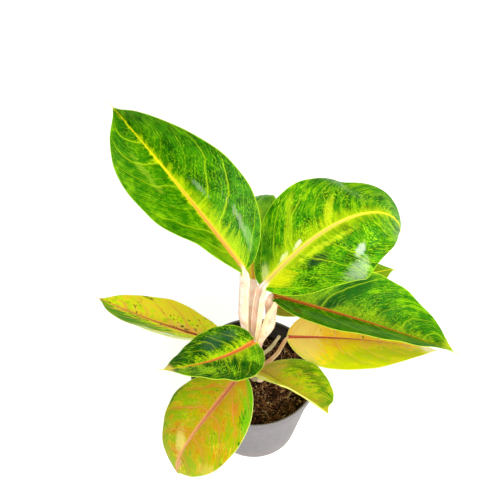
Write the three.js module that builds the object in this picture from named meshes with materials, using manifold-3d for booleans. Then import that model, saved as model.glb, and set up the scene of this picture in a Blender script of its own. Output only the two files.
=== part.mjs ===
// Potted iguana red aglaonema: ten leaves on one short cane, in a 12 cm nursery pot.
// Millimetres, +Z up. The origin is the centre of the pot's base, and the plant is seen best from -Y.
import * as THREE from 'three';
import Module from 'manifold-3d';
import { mergeVertices } from 'three/addons/utils/BufferGeometryUtils.js';

const wasm = await Module();
wasm.setup();

// Driving dimensions of the pot
const POT_RIM_RADIUS = 60;
const POT_HEIGHT = 94;
const POT_BASE_RADIUS = 42;
const POT_WALL = 1.5;
const RIM_BAND_HEIGHT = 11;
const RIM_STEP = 2;
const RIM_LIP = 1.8;
const EDGE_ROUNDING = 1;
const CHANNEL_SLOPE = 1.5;
const CHANNEL_INNER_RADIUS = 23;
const CHANNEL_OUTER_RADIUS = 35;
const CHANNEL_DEPTH = 2.5;
const DRAIN_HOLES = 8;
const DRAIN_HOLE_RADIUS = 3.5;
const DRAIN_HOLE_SIDES = 10;
const POT_SIDES = 40;

// Driving dimensions of the potting mix and of the cane that stands in it
const SOIL_LEVEL = 74;
const SOIL_RELIEF = 1.1;
const CHIP_COUNT = 40;
const GAP = 0.3;
const CANE_FOOT = new THREE.Vector3(2, 5, SOIL_LEVEL);
const CANE_LEAN = new THREE.Vector3(-0.06, 0.12, 1);
const CANE_DEPTH = 22;
const CANE_HEIGHT = 42;
const CANE_FOOT_RADIUS = 6.4;
const CANE_TOP_RADIUS = 4.3;
const CANE_SIDES = 16;

// Driving dimensions that all leaves share
const BLADE_THICKNESS = 0.9;
const TIP_HALF_WIDTH = 0.45;
const TIP_RIB_RADIUS = 0.4;
const TIP_RIB_DEPTH = 0.2;
const RIB_TAPER = 1.3;
const PETIOLE_STEPS = 7;
const PETIOLE_BEND = 10;
const PETIOLE_GROOVE = 0.25;
const SHEATH_SEAT = 0.4;
const SHEATH_THICKNESS = 3.3;
const SHEATH_EDGE = 0.8;

// Rules of a leaf's outline, and how far one margin's waves lag behind the other's, in radians
const TIP_POWER = 0.85;
const DRIP_TIP = 0.07;
const DRIP_NARROWING = 0.45;
const MARGIN_LAG = 1.3;

// Places across a leaf: the petiole's are spread evenly, and the middle one is on the midrib
const STATIONS = 9;
const MIDDLE = 4;

const rad = THREE.MathUtils.degToRad;
const lerp = THREE.MathUtils.lerp;
const smoothstep = THREE.MathUtils.smoothstep;

// A small seeded generator, so that the chips fall in the same places each time
function seededRandom(seed) {
  let state = seed;
  return () => {
    state = (state * 1664525 + 1013904223) % 4294967296;
    return state / 4294967296;
  };
}

// Solid from a closed three.js geometry
function toSolid(geometry) {
  const bare = geometry.clone();
  bare.deleteAttribute('normal');
  bare.deleteAttribute('uv');
  const merged = mergeVertices(bare, 1e-4);
  return new wasm.Manifold(new wasm.Mesh({
    numProp: 3,
    vertProperties: new Float32Array(merged.attributes.position.array),
    triVerts: new Uint32Array(merged.index.array),
  }));
}

// Geometry from a solid, with the loose scraps of a cut dropped
function toGeometry(solid) {
  const bodies = solid.decompose();
  bodies.sort((a, b) => b.volume() - a.volume());
  const mesh = bodies[0].getMesh();
  const geometry = new THREE.BufferGeometry();
  geometry.setAttribute('position', new THREE.BufferAttribute(new Float32Array(mesh.vertProperties), 3));
  geometry.setIndex(Array.from(mesh.triVerts));
  geometry.computeVertexNormals();
  return geometry;
}

function piece(name, geometry, color, roughness) {
  const material = new THREE.MeshStandardMaterial({ color, roughness, metalness: 0 });
  const mesh = new THREE.Mesh(geometry, material);
  mesh.name = name;
  return mesh;
}

// Pot: heights of the foot of its rim band and of the upper face of its floor
const RIM_FOOT = POT_HEIGHT - RIM_BAND_HEIGHT;
const FLOOR = POT_WALL;

// Radius of the pot's outside below the rim band
function bodyRadius(z) {
  return lerp(POT_BASE_RADIUS, POT_RIM_RADIUS - RIM_STEP, z / RIM_FOOT);
}

// Inside of the pot from the middle of its floor to the soil level, also the outside of the mix
function insideProfile(clearance, top) {
  const inside = (z) => bodyRadius(z) - POT_WALL - clearance;
  const low = FLOOR + clearance;
  const high = FLOOR + CHANNEL_DEPTH + clearance;
  const points = [
    [CHANNEL_INNER_RADIUS - EDGE_ROUNDING - clearance, low],
    [CHANNEL_INNER_RADIUS - clearance, high],
    [CHANNEL_OUTER_RADIUS + clearance, high],
    [CHANNEL_OUTER_RADIUS + EDGE_ROUNDING + clearance, low],
    [inside(low) - EDGE_ROUNDING, low],
    [inside(low + EDGE_ROUNDING), low + EDGE_ROUNDING],
    [inside(top), top],
  ];
  return points.map(([radius, z]) => new THREE.Vector2(radius, z));
}

function potGeometry() {
  const profile = [
    new THREE.Vector2(0, 0),
    new THREE.Vector2(CHANNEL_INNER_RADIUS, 0),
    new THREE.Vector2(CHANNEL_INNER_RADIUS + CHANNEL_SLOPE, CHANNEL_DEPTH),
    new THREE.Vector2(CHANNEL_OUTER_RADIUS - CHANNEL_SLOPE, CHANNEL_DEPTH),
    new THREE.Vector2(CHANNEL_OUTER_RADIUS, 0),
    new THREE.Vector2(POT_BASE_RADIUS - EDGE_ROUNDING, 0),
    new THREE.Vector2(bodyRadius(EDGE_ROUNDING), EDGE_ROUNDING),
    new THREE.Vector2(bodyRadius(RIM_FOOT / 2), RIM_FOOT / 2),
    new THREE.Vector2(bodyRadius(RIM_FOOT), RIM_FOOT),
    new THREE.Vector2(POT_RIM_RADIUS - RIM_STEP / 2, RIM_FOOT + RIM_STEP / 2),
    new THREE.Vector2(POT_RIM_RADIUS, POT_HEIGHT - EDGE_ROUNDING),
    new THREE.Vector2(POT_RIM_RADIUS - EDGE_ROUNDING / 2, POT_HEIGHT),
    new THREE.Vector2(POT_RIM_RADIUS - RIM_LIP, POT_HEIGHT),
    new THREE.Vector2(bodyRadius(RIM_FOOT) - POT_WALL + RIM_STEP - EDGE_ROUNDING / 2, RIM_FOOT + RIM_STEP),
    ...insideProfile(0, RIM_FOOT - EDGE_ROUNDING).reverse(),
    new THREE.Vector2(0, FLOOR),
  ];
  const shell = new THREE.LatheGeometry(profile, POT_SIDES).rotateX(Math.PI / 2);
  let solid = toSolid(shell);
  for (let i = 0; i < DRAIN_HOLES; i++) {
    const angle = (2 * Math.PI * (i + 0.5)) / DRAIN_HOLES;
    const middle = (CHANNEL_INNER_RADIUS + CHANNEL_OUTER_RADIUS) / 2;
    const cutter = new THREE.CylinderGeometry(
      DRAIN_HOLE_RADIUS,
      DRAIN_HOLE_RADIUS,
      4 * CHANNEL_DEPTH,
      DRAIN_HOLE_SIDES,
    );
    const hole = cutter.rotateX(Math.PI / 2);
    hole.translate(middle * Math.cos(angle), middle * Math.sin(angle), CHANNEL_DEPTH);
    solid = solid.subtract(toSolid(hole));
  }
  return toGeometry(solid);
}

// Cane: the swelling at each leaf scar
const SCAR_SPACING = 7;
const SCAR_RELIEF = 0.25;
const CANE_STEPS = 24;
const CROWN_ROUNDING = 1;

// Point on the cane's axis at a height above the soil
function caneAxis(height) {
  return new THREE.Vector3(
    CANE_FOOT.x + CANE_LEAN.x * height,
    CANE_FOOT.y + CANE_LEAN.y * height,
    CANE_FOOT.z + height,
  );
}

// Radius of the cane: it thins upwards, where it is younger
function caneRadius(height) {
  return lerp(CANE_FOOT_RADIUS, CANE_TOP_RADIUS, smoothstep(height, 0, CANE_HEIGHT));
}

// Rings of points, each closed, with a flat fan at either end
function loft(rings) {
  const sides = rings[0].length;
  const positions = [];
  for (const ring of rings) {
    for (const point of ring) {
      positions.push(point.x, point.y, point.z);
    }
  }
  const index = [];
  for (let i = 0; i < rings.length - 1; i++) {
    for (let j = 0; j < sides; j++) {
      const a = i * sides + j;
      const b = i * sides + ((j + 1) % sides);
      index.push(a, b, b + sides, a, b + sides, a + sides);
    }
  }
  const last = (rings.length - 1) * sides;
  for (let j = 1; j < sides - 1; j++) {
    index.push(0, j + 1, j);
    index.push(last, last + j, last + j + 1);
  }
  const geometry = new THREE.BufferGeometry();
  geometry.setAttribute('position', new THREE.Float32BufferAttribute(positions, 3));
  geometry.setIndex(index);
  geometry.computeVertexNormals();
  return geometry;
}

function circle(centre, radius, sides) {
  const points = [];
  for (let j = 0; j < sides; j++) {
    const angle = (2 * Math.PI * j) / sides;
    points.push(new THREE.Vector3(
      centre.x + radius * Math.cos(angle),
      centre.y + radius * Math.sin(angle),
      centre.z,
    ));
  }
  return points;
}

// The cane swells a little at each leaf scar, which is a closed ring around it
function caneGeometry() {
  const rings = [];
  for (let i = 0; i <= CANE_STEPS; i++) {
    const height = lerp(-CANE_DEPTH, CANE_HEIGHT, i / CANE_STEPS);
    const scar = height > 0 ? SCAR_RELIEF * Math.cos((2 * Math.PI * height) / SCAR_SPACING) - SCAR_RELIEF : 0;
    rings.push(circle(caneAxis(height), caneRadius(height) + scar, CANE_SIDES));
  }
  rings.push(circle(caneAxis(CANE_HEIGHT + CROWN_ROUNDING), CANE_TOP_RADIUS - CROWN_ROUNDING, CANE_SIDES));
  return loft(rings);
}

// Potting mix: its rings of facets, and the sizes of the chips of bark and coir in its surface
const SOIL_RINGS = 8;
const CHIP_LENGTH = [4, 11];
const CHIP_WIDTH = [1.6, 3.4];
const CHIP_HEIGHT = [3.2, 4.4];
const CHIP_SINK = 0.5;
const CHIP_CLEAR_OF_CANE = 13;
const CHIP_CLEAR_OF_WALL = 3;
const HOLE_CLEARANCE = 0.4;

// Gentle heaps and hollows over the surface
function soilRelief(x, y) {
  const heaps = Math.sin(x * 0.17 + 1.3) * Math.cos(y * 0.15 - 0.4);
  const lumps = Math.sin(x * 0.43 - y * 0.31 + 2.1) * Math.sin(y * 0.47 + x * 0.22);
  return SOIL_RELIEF * (heaps + 0.7 * lumps);
}

function soilGeometry(random) {
  const outside = insideProfile(GAP, SOIL_LEVEL - 1);
  const edge = outside[outside.length - 1].x;
  const surface = [];
  for (let i = 0; i < SOIL_RINGS; i++) {
    surface.push(new THREE.Vector2((edge - EDGE_ROUNDING) * (1 - i / SOIL_RINGS), SOIL_LEVEL));
  }
  const profile = [
    new THREE.Vector2(0, FLOOR + GAP),
    ...outside,
    ...surface,
    new THREE.Vector2(0, SOIL_LEVEL),
  ];
  const body = new THREE.LatheGeometry(profile, POT_SIDES).rotateX(Math.PI / 2);
  const position = body.attributes.position;
  for (let i = 0; i < position.count; i++) {
    if (position.getZ(i) > SOIL_LEVEL - 0.5) {
      position.setZ(i, SOIL_LEVEL + soilRelief(position.getX(i), position.getY(i)));
    }
  }
  let solid = toSolid(body);
  for (let i = 0; i < CHIP_COUNT; i++) {
    solid = solid.add(toSolid(chipGeometry(random, edge)));
  }
  return toGeometry(solid.subtract(toSolid(caneHoleGeometry())));
}

// One chip of bark or coir, sunk well into the surface
function chipGeometry(random, edge) {
  const length = lerp(...CHIP_LENGTH, random());
  const chip = new THREE.BoxGeometry(length, lerp(...CHIP_WIDTH, random()), lerp(...CHIP_HEIGHT, random()));
  chip.rotateX(rad(lerp(-23, 23, random())));
  chip.rotateY(rad(lerp(-17, 17, random())));
  chip.rotateZ(2 * Math.PI * random());
  const angle = 2 * Math.PI * random();
  const outermost = edge - length / 2 - CHIP_CLEAR_OF_WALL;
  const radius = lerp(CHIP_CLEAR_OF_CANE, outermost, Math.sqrt(random()));
  const x = radius * Math.cos(angle);
  const y = radius * Math.sin(angle);
  return chip.translate(x, y, SOIL_LEVEL + soilRelief(x, y) - CHIP_SINK);
}

// Plain hole that the cane stands in
function caneHoleGeometry() {
  const rings = [];
  for (const height of [-CANE_DEPTH - GAP, 0, CANE_DEPTH]) {
    rings.push(circle(caneAxis(height), CANE_FOOT_RADIUS + HOLE_CLEARANCE, CANE_SIDES));
  }
  return loft(rings);
}

// Leaves

// Each leaf's blade starts at base, counted from the cane's foot. Angles are in degrees: heading turns
// from +X to +Y, pitch is up, sweep and droop are how much they change along the blade, and late
// over 1 keeps the droop for the tip. Roll and twist turn the blade about its midrib, fold lifts its
// halves from the midrib and curl bends them down again towards the margin. Clasp is the side of the
// cane that the sheath holds, node is the height where it starts and spread is half its width.
const LEAVES = [
  {
    name: 'leaf_upper_left', color: 0x3f9418, base: [-12, 16, 143], length: 182, width: 101,
    heading: 139, sweep: -7, pitch: 41, droop: 24, late: 1, roll: 20, twist: -74, fold: 36, curl: 1,
    wave: 1, waves: 2, phase: 0, lobe: 3, blunt: 0.6,
    clasp: 180, node: 38, spread: 51, sheath: 5.2, petiole: 3.2, steps: 15,
  },
  {
    name: 'leaf_back', color: 0x45901c, base: [-3, 36, 105], length: 121, width: 52,
    heading: 91, sweep: 2, pitch: 61, droop: 128, late: 1.1, roll: -8, twist: 8, fold: 15, curl: 15,
    wave: 2, waves: 1.5, phase: 0, lobe: 0, blunt: 0.75,
    clasp: 94, node: 38, spread: 32, sheath: 3.8, petiole: 2.7, steps: 12,
  },
  {
    name: 'leaf_upper_right', color: 0x4a9c1a, base: [6, 10, 131], length: 185, width: 107,
    heading: 43, sweep: -21, pitch: 23, droop: 103, late: 2, roll: -3, twist: 38, fold: 2, curl: 22,
    wave: 12.5, waves: 1.5, phase: -97, lobe: 3, blunt: 0.6,
    clasp: null, node: 43.7, spread: 0, sheath: 3.8, petiole: 3.1, steps: 17,
  },
  {
    name: 'leaf_right', color: 0x3f8f1a, base: [17, 17, 105], length: 181, width: 89,
    heading: -15, sweep: 18, pitch: -5, droop: 30, late: 1, roll: 8, twist: -20, fold: 38, curl: 1,
    wave: 1, waves: 2, phase: 60, lobe: 3, blunt: 0.6,
    clasp: 336, node: 38, spread: 37, sheath: 4.9, petiole: 3, steps: 14,
  },
  {
    name: 'leaf_right_back', color: 0x86a522, base: [15, 29, 70], length: 125, width: 60,
    heading: 20, sweep: 0, pitch: 18, droop: 30, late: 1, roll: -5, twist: 0, fold: 15, curl: 15,
    wave: 1.5, waves: 2, phase: 30, lobe: 3, blunt: 0.6,
    clasp: 38, node: 37, spread: 21, sheath: 3, petiole: 2.4, steps: 11,
  },
  {
    name: 'leaf_lower_right', color: 0xd3a53a, base: [32, 21, 36], length: 144, width: 77,
    heading: 3, sweep: -9, pitch: -3, droop: 8, late: 1, roll: 8, twist: -44, fold: 7, curl: 20,
    wave: 1, waves: 2, phase: 120, lobe: 3, blunt: 0.6,
    clasp: 22, node: 4, spread: 31, sheath: 2.6, petiole: 2.1, steps: 12,
  },
  {
    name: 'leaf_front_right', color: 0x98a830, base: [3, -8, 25], length: 98, width: 75,
    heading: -48, sweep: -4, pitch: 23, droop: 0, late: 1, roll: -17, twist: -27, fold: 23, curl: 3,
    wave: 1, waves: 2, phase: 200, lobe: 1, blunt: 0.62,
    clasp: 308, node: 3, spread: 33, sheath: 3, petiole: 2.3, steps: 12,
  },
  {
    name: 'leaf_centre_left', color: 0x2f7a14, base: [-4, -20, 87], length: 95, width: 59,
    heading: 229, sweep: -31, pitch: 20, droop: 0, late: 1, roll: -22, twist: 50, fold: 13, curl: 14,
    wave: 0.8, waves: 2, phase: 0, lobe: 6, blunt: 0.48,
    clasp: 264, node: 27, spread: 29, sheath: 3.4, petiole: 2.4, steps: 12,
  },
  {
    name: 'leaf_front', color: 0xc9b52c, base: [-15, -29, 49], length: 127, width: 84,
    heading: 232, sweep: -25, pitch: -16, droop: 79, late: 1.6, roll: 16, twist: -35, fold: 6, curl: 21,
    wave: 1, waves: 2, phase: 90, lobe: 3, blunt: 0.6,
    clasp: 217, node: 7, spread: 27, sheath: 2.8, petiole: 2.2, steps: 13,
  },
  {
    name: 'leaf_left', color: 0xc0ae2e, base: [-29, 17, 31], length: 133, width: 70,
    heading: 168, sweep: -16, pitch: 8, droop: 6, late: 1, roll: 36, twist: -19, fold: 19, curl: 7,
    wave: 1, waves: 2, phase: 30, lobe: 3, blunt: 0.6,
    clasp: 156, node: 4, spread: 29, sheath: 2.8, petiole: 2.2, steps: 12,
  },
];

// Dry remains of a leaf that was cut off: a sheath and the foot of its petiole, with no blade
const STUB = {
  base: [21, 15, 45], length: 0, heading: 30, sweep: 0, pitch: 52, droop: 0, late: 1, roll: 0, twist: 0,
  clasp: 48, node: 17, spread: 20, sheath: 2.1, petiole: 1.7,
};

// Half width of a blade as a share of its greatest, from the base (0) to the drip tip (1)
function outline(leaf, s) {
  const widest = leaf.blunt / (leaf.blunt + TIP_POWER);
  const swell = Math.pow(s / widest, leaf.blunt) * Math.pow((1 - s) / (1 - widest), TIP_POWER);
  return swell * (1 - DRIP_NARROWING * Math.exp(-(((1 - s) / DRIP_TIP) ** 2)));
}

function midribDirection(leaf, s) {
  const pitch = rad(leaf.pitch - leaf.droop * Math.pow(s, leaf.late));
  const heading = rad(leaf.heading + leaf.sweep * s);
  return new THREE.Vector3(
    Math.cos(pitch) * Math.cos(heading),
    Math.cos(pitch) * Math.sin(heading),
    Math.sin(pitch),
  );
}

// Point on the midrib, summed up in short straight steps
function midribPoint(leaf, s) {
  const point = new THREE.Vector3(...leaf.base).add(CANE_FOOT);
  const parts = 40;
  for (let i = 0; i < parts; i++) {
    point.addScaledVector(midribDirection(leaf, (s * (i + 0.5)) / parts), (leaf.length * s) / parts);
  }
  return point;
}

// Directions at one place on the midrib: along it, to its left, and up out of its upper face
function midribFrame(leaf, s) {
  const along = midribDirection(leaf, s);
  const heading = rad(leaf.heading + leaf.sweep * s);
  const level = new THREE.Vector3(-Math.sin(heading), Math.cos(heading), 0);
  const upright = along.clone().cross(level);
  const roll = rad(leaf.roll + leaf.twist * s);
  const left = level.clone().multiplyScalar(Math.cos(roll)).addScaledVector(upright, Math.sin(roll));
  const up = upright.clone().multiplyScalar(Math.cos(roll)).addScaledVector(level, -Math.sin(roll));
  return { along, left, up };
}

function halfWidth(leaf, s) {
  return Math.max((leaf.width / 2) * outline(leaf, s), TIP_HALF_WIDTH);
}

// Middle of the blade's thickness at s along it and v across it, from -1 (right margin) to 1 (left).
// The margin's waves die out at both ends, and the lobes of the base reach back past its start.
function bladePoint(leaf, s, v) {
  const { along, left, up } = midribFrame(leaf, s);
  const across = Math.abs(v);
  const half = halfWidth(leaf, s);
  const fold = rad(leaf.fold);
  const curl = rad(leaf.curl);
  const side = (half * (Math.sin(fold) - Math.sin(fold - curl * across))) / curl;
  const lift = (half * (Math.cos(fold - curl * across) - Math.cos(fold))) / curl;
  const turn = 2 * Math.PI * leaf.waves * s + rad(leaf.phase) + (v < 0 ? MARGIN_LAG : 0);
  const wave = leaf.wave * across ** 2 * Math.sin(turn) * Math.sin(Math.PI * s);
  const back = leaf.lobe * across ** 1.5 * (1 - s) ** 5;
  return midribPoint(leaf, s)
    .addScaledVector(along, -back)
    .addScaledVector(left, Math.sign(v) * side)
    .addScaledVector(up, lift + wave);
}

// Direction out of the blade's upper face
function bladeNormal(leaf, s, v) {
  const step = 0.004;
  const s0 = Math.min(Math.max(s, 0.012), 0.985);
  const v0 = Math.min(Math.abs(v), 1 - step) * Math.sign(v);
  const lengthwise = bladePoint(leaf, s0 + step, v0).sub(bladePoint(leaf, s0 - step, v0));
  const crosswise = bladePoint(leaf, s0, v0 + step).sub(bladePoint(leaf, s0, v0 - step));
  return lengthwise.cross(crosswise).normalize();
}

// One ring round the blade: the upper face and the lower face, each from right to left. The rib stands
// out below. Near the base and the tip, where the blade is narrow, it is thick straight up and down.
function bladeRing(leaf, s) {
  const half = halfWidth(leaf, s);
  const ribHalf = lerp(TIP_RIB_RADIUS, leaf.petiole, (1 - s) ** RIB_TAPER);
  const ribDepth = lerp(TIP_RIB_DEPTH, leaf.petiole, (1 - s) ** (2 * RIB_TAPER));
  const rib = Math.min(ribHalf / half, 0.25);
  const { up } = midribFrame(leaf, s);
  const across = [-1, -0.7, -0.38, -rib, 0, rib, 0.38, 0.7, 1];
  const upper = [];
  const lower = [];
  for (const v of across) {
    const point = bladePoint(leaf, s, v);
    const normal = up.clone().lerp(bladeNormal(leaf, s, v), smoothstep(half, 1, 4)).normalize();
    const onRib = Math.abs(v) < 1e-9 ? 1 : Math.abs(v) <= rib ? 0.45 : 0;
    upper.push(point.clone().addScaledVector(normal, BLADE_THICKNESS / 2));
    lower.push(point.clone().addScaledVector(normal, -BLADE_THICKNESS / 2 - ribDepth * onRib));
  }
  return { upper, lower };
}

// Level direction at an angle from +X
function bearingOf(angle) {
  return new THREE.Vector3(Math.cos(angle), Math.sin(angle), 0);
}

// One ring round the petiole: q runs from the sheath at the cane (0) to the blade (1). The sheath wraps
// round the cane and thins to its two edges, then closes up to a stalk with a groove along its face.
function petioleRing(leaf, curve, q) {
  const centre = curve.getPoint(q);
  const along = curve.getTangent(q);
  const onTop = leaf.clasp === null;
  const clasp = rad(leaf.clasp ?? 0);
  const { up } = midribFrame(leaf, 0);
  const inward = onTop ? up.clone() : bearingOf(clasp).negate();
  const face = inward.lerp(up, smoothstep(q, 0.1, 1));
  face.addScaledVector(along, -face.dot(along)).normalize();
  const left = face.clone().cross(along);
  const free = onTop ? 1 : smoothstep(q, 0.04, 0.4);
  const axis = caneAxis(centre.z - CANE_FOOT.z);
  const inner = caneRadius(centre.z - CANE_FOOT.z) + SHEATH_SEAT;
  const slim = smoothstep(q, 0.3, 1);
  const halfAcross = lerp(leaf.sheath, leaf.petiole, slim);
  const halfDeep = lerp(leaf.sheath * 0.85, leaf.petiole, slim);
  const upper = [];
  const lower = [];
  for (let j = 0; j < STATIONS; j++) {
    const turn = (j - MIDDLE) / MIDDLE;
    const angle = rad(80) * turn;
    const groove = PETIOLE_GROOVE * halfDeep * Math.exp(-((turn / 0.3) ** 2));
    const top = centre.clone()
      .addScaledVector(left, halfAcross * Math.sin(angle))
      .addScaledVector(face, 0.7 * halfDeep * Math.cos(angle) - groove);
    const bottom = centre.clone()
      .addScaledVector(left, halfAcross * Math.sin(angle))
      .addScaledVector(face, -halfDeep * Math.cos(angle));
    const outward = bearingOf(clasp + rad(leaf.spread) * turn);
    const thickness = lerp(SHEATH_EDGE, SHEATH_THICKNESS, Math.cos((Math.PI / 2) * turn));
    const inside = axis.clone().addScaledVector(outward, inner);
    const outside = axis.clone().addScaledVector(outward, inner + thickness);
    upper.push(inside.lerp(top, free));
    lower.push(outside.lerp(bottom, free));
  }
  return { upper, lower };
}

// Centre line of the petiole, from the middle of its sheath up and over to the blade
function petioleCurve(leaf) {
  const start = caneAxis(leaf.node);
  const end = midribPoint(leaf, 0);
  const reach = start.distanceTo(end);
  const rise = start.clone().lerp(end, 0.45);
  if (leaf.clasp !== null) {
    const outward = bearingOf(rad(leaf.clasp));
    const seat = caneRadius(leaf.node) + SHEATH_SEAT + SHEATH_THICKNESS / 2;
    start.addScaledVector(outward, seat);
    rise.addScaledVector(outward, 1.15 * seat);
  }
  const arrive = end.clone().addScaledVector(midribDirection(leaf, 0), -Math.min(PETIOLE_BEND, 0.3 * reach));
  return new THREE.CubicBezierCurve3(start, rise, arrive, end);
}

// Skin over the rings of a leaf. Each cell is split along the same diagonal on both faces.
function skin(rings) {
  const ringSize = 2 * STATIONS;
  const last = STATIONS - 1;
  const positions = [];
  for (const { upper, lower } of rings) {
    for (const point of [...upper, ...lower]) {
      positions.push(point.x, point.y, point.z);
    }
  }
  const upper = (i, j) => i * ringSize + j;
  const lower = (i, j) => i * ringSize + STATIONS + j;
  const index = [];
  const cell = (a, b, c, d) => index.push(a, b, c, a, c, d);
  for (let i = 0; i < rings.length - 1; i++) {
    for (let j = 0; j < STATIONS - 1; j++) {
      cell(upper(i, j), upper(i + 1, j), upper(i + 1, j + 1), upper(i, j + 1));
      index.push(lower(i, j), lower(i + 1, j + 1), lower(i + 1, j));
      index.push(lower(i, j), lower(i, j + 1), lower(i + 1, j + 1));
    }
    cell(lower(i, 0), lower(i + 1, 0), upper(i + 1, 0), upper(i, 0));
    cell(upper(i, last), upper(i + 1, last), lower(i + 1, last), lower(i, last));
  }
  const end = rings.length - 1;
  for (let j = 0; j < STATIONS - 1; j++) {
    cell(upper(0, j), upper(0, j + 1), lower(0, j + 1), lower(0, j));
    cell(upper(end, j), lower(end, j), lower(end, j + 1), upper(end, j + 1));
  }
  const geometry = new THREE.BufferGeometry();
  geometry.setAttribute('position', new THREE.Float32BufferAttribute(positions, 3));
  geometry.setIndex(index);
  geometry.computeVertexNormals();
  return geometry;
}

// Rings up the petiole, closer together where it bends over to the blade
function petioleRings(leaf) {
  const curve = petioleCurve(leaf);
  const rings = [];
  for (let i = 0; i <= PETIOLE_STEPS; i++) {
    rings.push(petioleRing(leaf, curve, Math.sin((Math.PI / 2) * (i / PETIOLE_STEPS))));
  }
  return rings;
}

function leafGeometry(leaf) {
  const rings = petioleRings(leaf);
  for (let i = 1; i <= leaf.steps; i++) {
    rings.push(bladeRing(leaf, (1 - Math.cos((Math.PI * i) / leaf.steps)) / 2));
  }
  return skin(rings);
}

const group = new THREE.Group();
group.add(piece('pot', potGeometry(), 0xb0aaac, 0.5));
group.add(piece('potting_mix', soilGeometry(seededRandom(7)), 0x3c2314, 0.95));

const plant = new THREE.Group();
plant.add(piece('cane', caneGeometry(), 0xe2cdb0, 0.6));
plant.add(piece('old_petiole_stub', skin(petioleRings(STUB)), 0xb5a47a, 0.8));
for (const leaf of LEAVES) {
  plant.add(piece(leaf.name, leafGeometry(leaf), leaf.color, 0.4));
}
group.add(plant);

export default group;
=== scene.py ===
# %% [markdown]
# Red aglaonema in a nursery pot, seen from above and in front in soft white light.
# The packed model gives every piece its place and size. This file keeps those places and makes the
# living surface: finely waved blades with veins, a moulded pot, loose potting mix and a pale stem.
# A plant could be sculpted by hand, but here each shape is a formula, so that a learner can change
# one number and see what it does.

# %% Load the frame
import math
import random

import bpy
import numpy as np
from mathutils import Euler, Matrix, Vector, noise


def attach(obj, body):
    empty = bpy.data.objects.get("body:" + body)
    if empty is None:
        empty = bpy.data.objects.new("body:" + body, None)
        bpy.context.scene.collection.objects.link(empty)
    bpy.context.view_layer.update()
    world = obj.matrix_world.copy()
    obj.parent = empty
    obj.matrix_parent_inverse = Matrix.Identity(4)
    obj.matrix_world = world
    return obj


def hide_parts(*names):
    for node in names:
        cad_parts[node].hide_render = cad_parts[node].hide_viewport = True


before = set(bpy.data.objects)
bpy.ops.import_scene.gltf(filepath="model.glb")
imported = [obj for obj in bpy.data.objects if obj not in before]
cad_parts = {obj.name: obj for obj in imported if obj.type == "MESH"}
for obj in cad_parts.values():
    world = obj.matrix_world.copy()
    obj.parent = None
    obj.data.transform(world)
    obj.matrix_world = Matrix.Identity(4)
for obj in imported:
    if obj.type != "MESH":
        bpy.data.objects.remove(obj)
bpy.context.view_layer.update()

# %% [markdown]
# The camera stands at the photograph's place: in front of the pot, looking down at 50 degrees. Its
# distance and lens came from the ellipses of the pot's rim and base, with the pot as the ruler.

# %% Camera
CAMERA_PLACE = (-0.004, -0.480, 0.842)
CAMERA_TILT_DOWN = math.radians(50)
CAMERA_LENS = 67.2
CAMERA_SENSOR = 36

camera_data = bpy.data.cameras.new("camera")
camera_data.lens = CAMERA_LENS
camera_data.sensor_width = CAMERA_SENSOR
camera = bpy.data.objects.new("camera", camera_data)
camera.location = CAMERA_PLACE
camera.rotation_euler = (math.pi / 2 - CAMERA_TILT_DOWN, 0, 0)
bpy.context.scene.collection.objects.link(camera)
bpy.context.scene.camera = camera
print("camera", CAMERA_PLACE, "looks down", round(math.degrees(CAMERA_TILT_DOWN)), "degrees")

# %% [markdown]
# The studio is a softly lit white table under a white sky, with broad lamps from the right, from in
# front and, weaker, from behind. A product photograph of a plant is lit like this, so that the colours
# stay clear and the shadows almost vanish. The camera sees the sky as pure white, and the plant gets
# less of it, because a bright sky would lie on the glossy leaves as a grey veil.

# %% Sky
WHITE = (1, 1, 1, 1)
SKY_LIGHT = 0.5
SKY_SEEN = 1.05

scene = bpy.context.scene
scene.view_settings.view_transform = "Standard"
sky = bpy.data.worlds.new("white studio")
scene.world = sky
sky.use_nodes = True
background = sky.node_tree.nodes["Background"].inputs
background["Color"].default_value = WHITE
ray = sky.node_tree.nodes.new("ShaderNodeLightPath")
strength = sky.node_tree.nodes.new("ShaderNodeMapRange")
strength.inputs["To Min"].default_value = SKY_LIGHT
strength.inputs["To Max"].default_value = SKY_SEEN
sky.node_tree.links.new(ray.outputs["Is Camera Ray"], strength.inputs["Value"])
sky.node_tree.links.new(strength.outputs["Result"], background["Strength"])
print("sky:", SKY_LIGHT, "for the plant and", SKY_SEEN, "for the camera")

# %% Lamps
# Each lamp: where it stands, the point it shines at, its side in metres and its power in watts
LAMPS = {
    "key lamp": ((0.95, -0.35, 1.2), (0, 0, 0.15), 0.7, 10),
    "front lamp": ((0.3, -1.1, 0.62), (0, 0, 0.15), 0.8, 16),
    "back lamp": ((-0.4, 0.9, 1.1), (0, 0, 0.2), 0.8, 4.5),
}


def lamp(name, place, aim, size, power):
    """A square soft lamp that shines from a place towards a point."""
    data = bpy.data.lights.new(name, "AREA")
    data.shape = "SQUARE"
    data.size = size
    data.energy = power
    made = bpy.data.objects.new(name, data)
    made.location = place
    made.rotation_euler = (Vector(aim) - Vector(place)).to_track_quat("-Z", "Y").to_euler()
    bpy.context.scene.collection.objects.link(made)


for name, settings in LAMPS.items():
    lamp(name, *settings)
print("lamps:", list(LAMPS))

# %% Table
TABLE_RADIUS = 4.0
TABLE_POINTS = 64
TABLE_TOP = -0.0003
TABLE_PAINT = (0.8, 0.8, 0.8, 1)
TABLE_GLOW = 0.45

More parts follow.
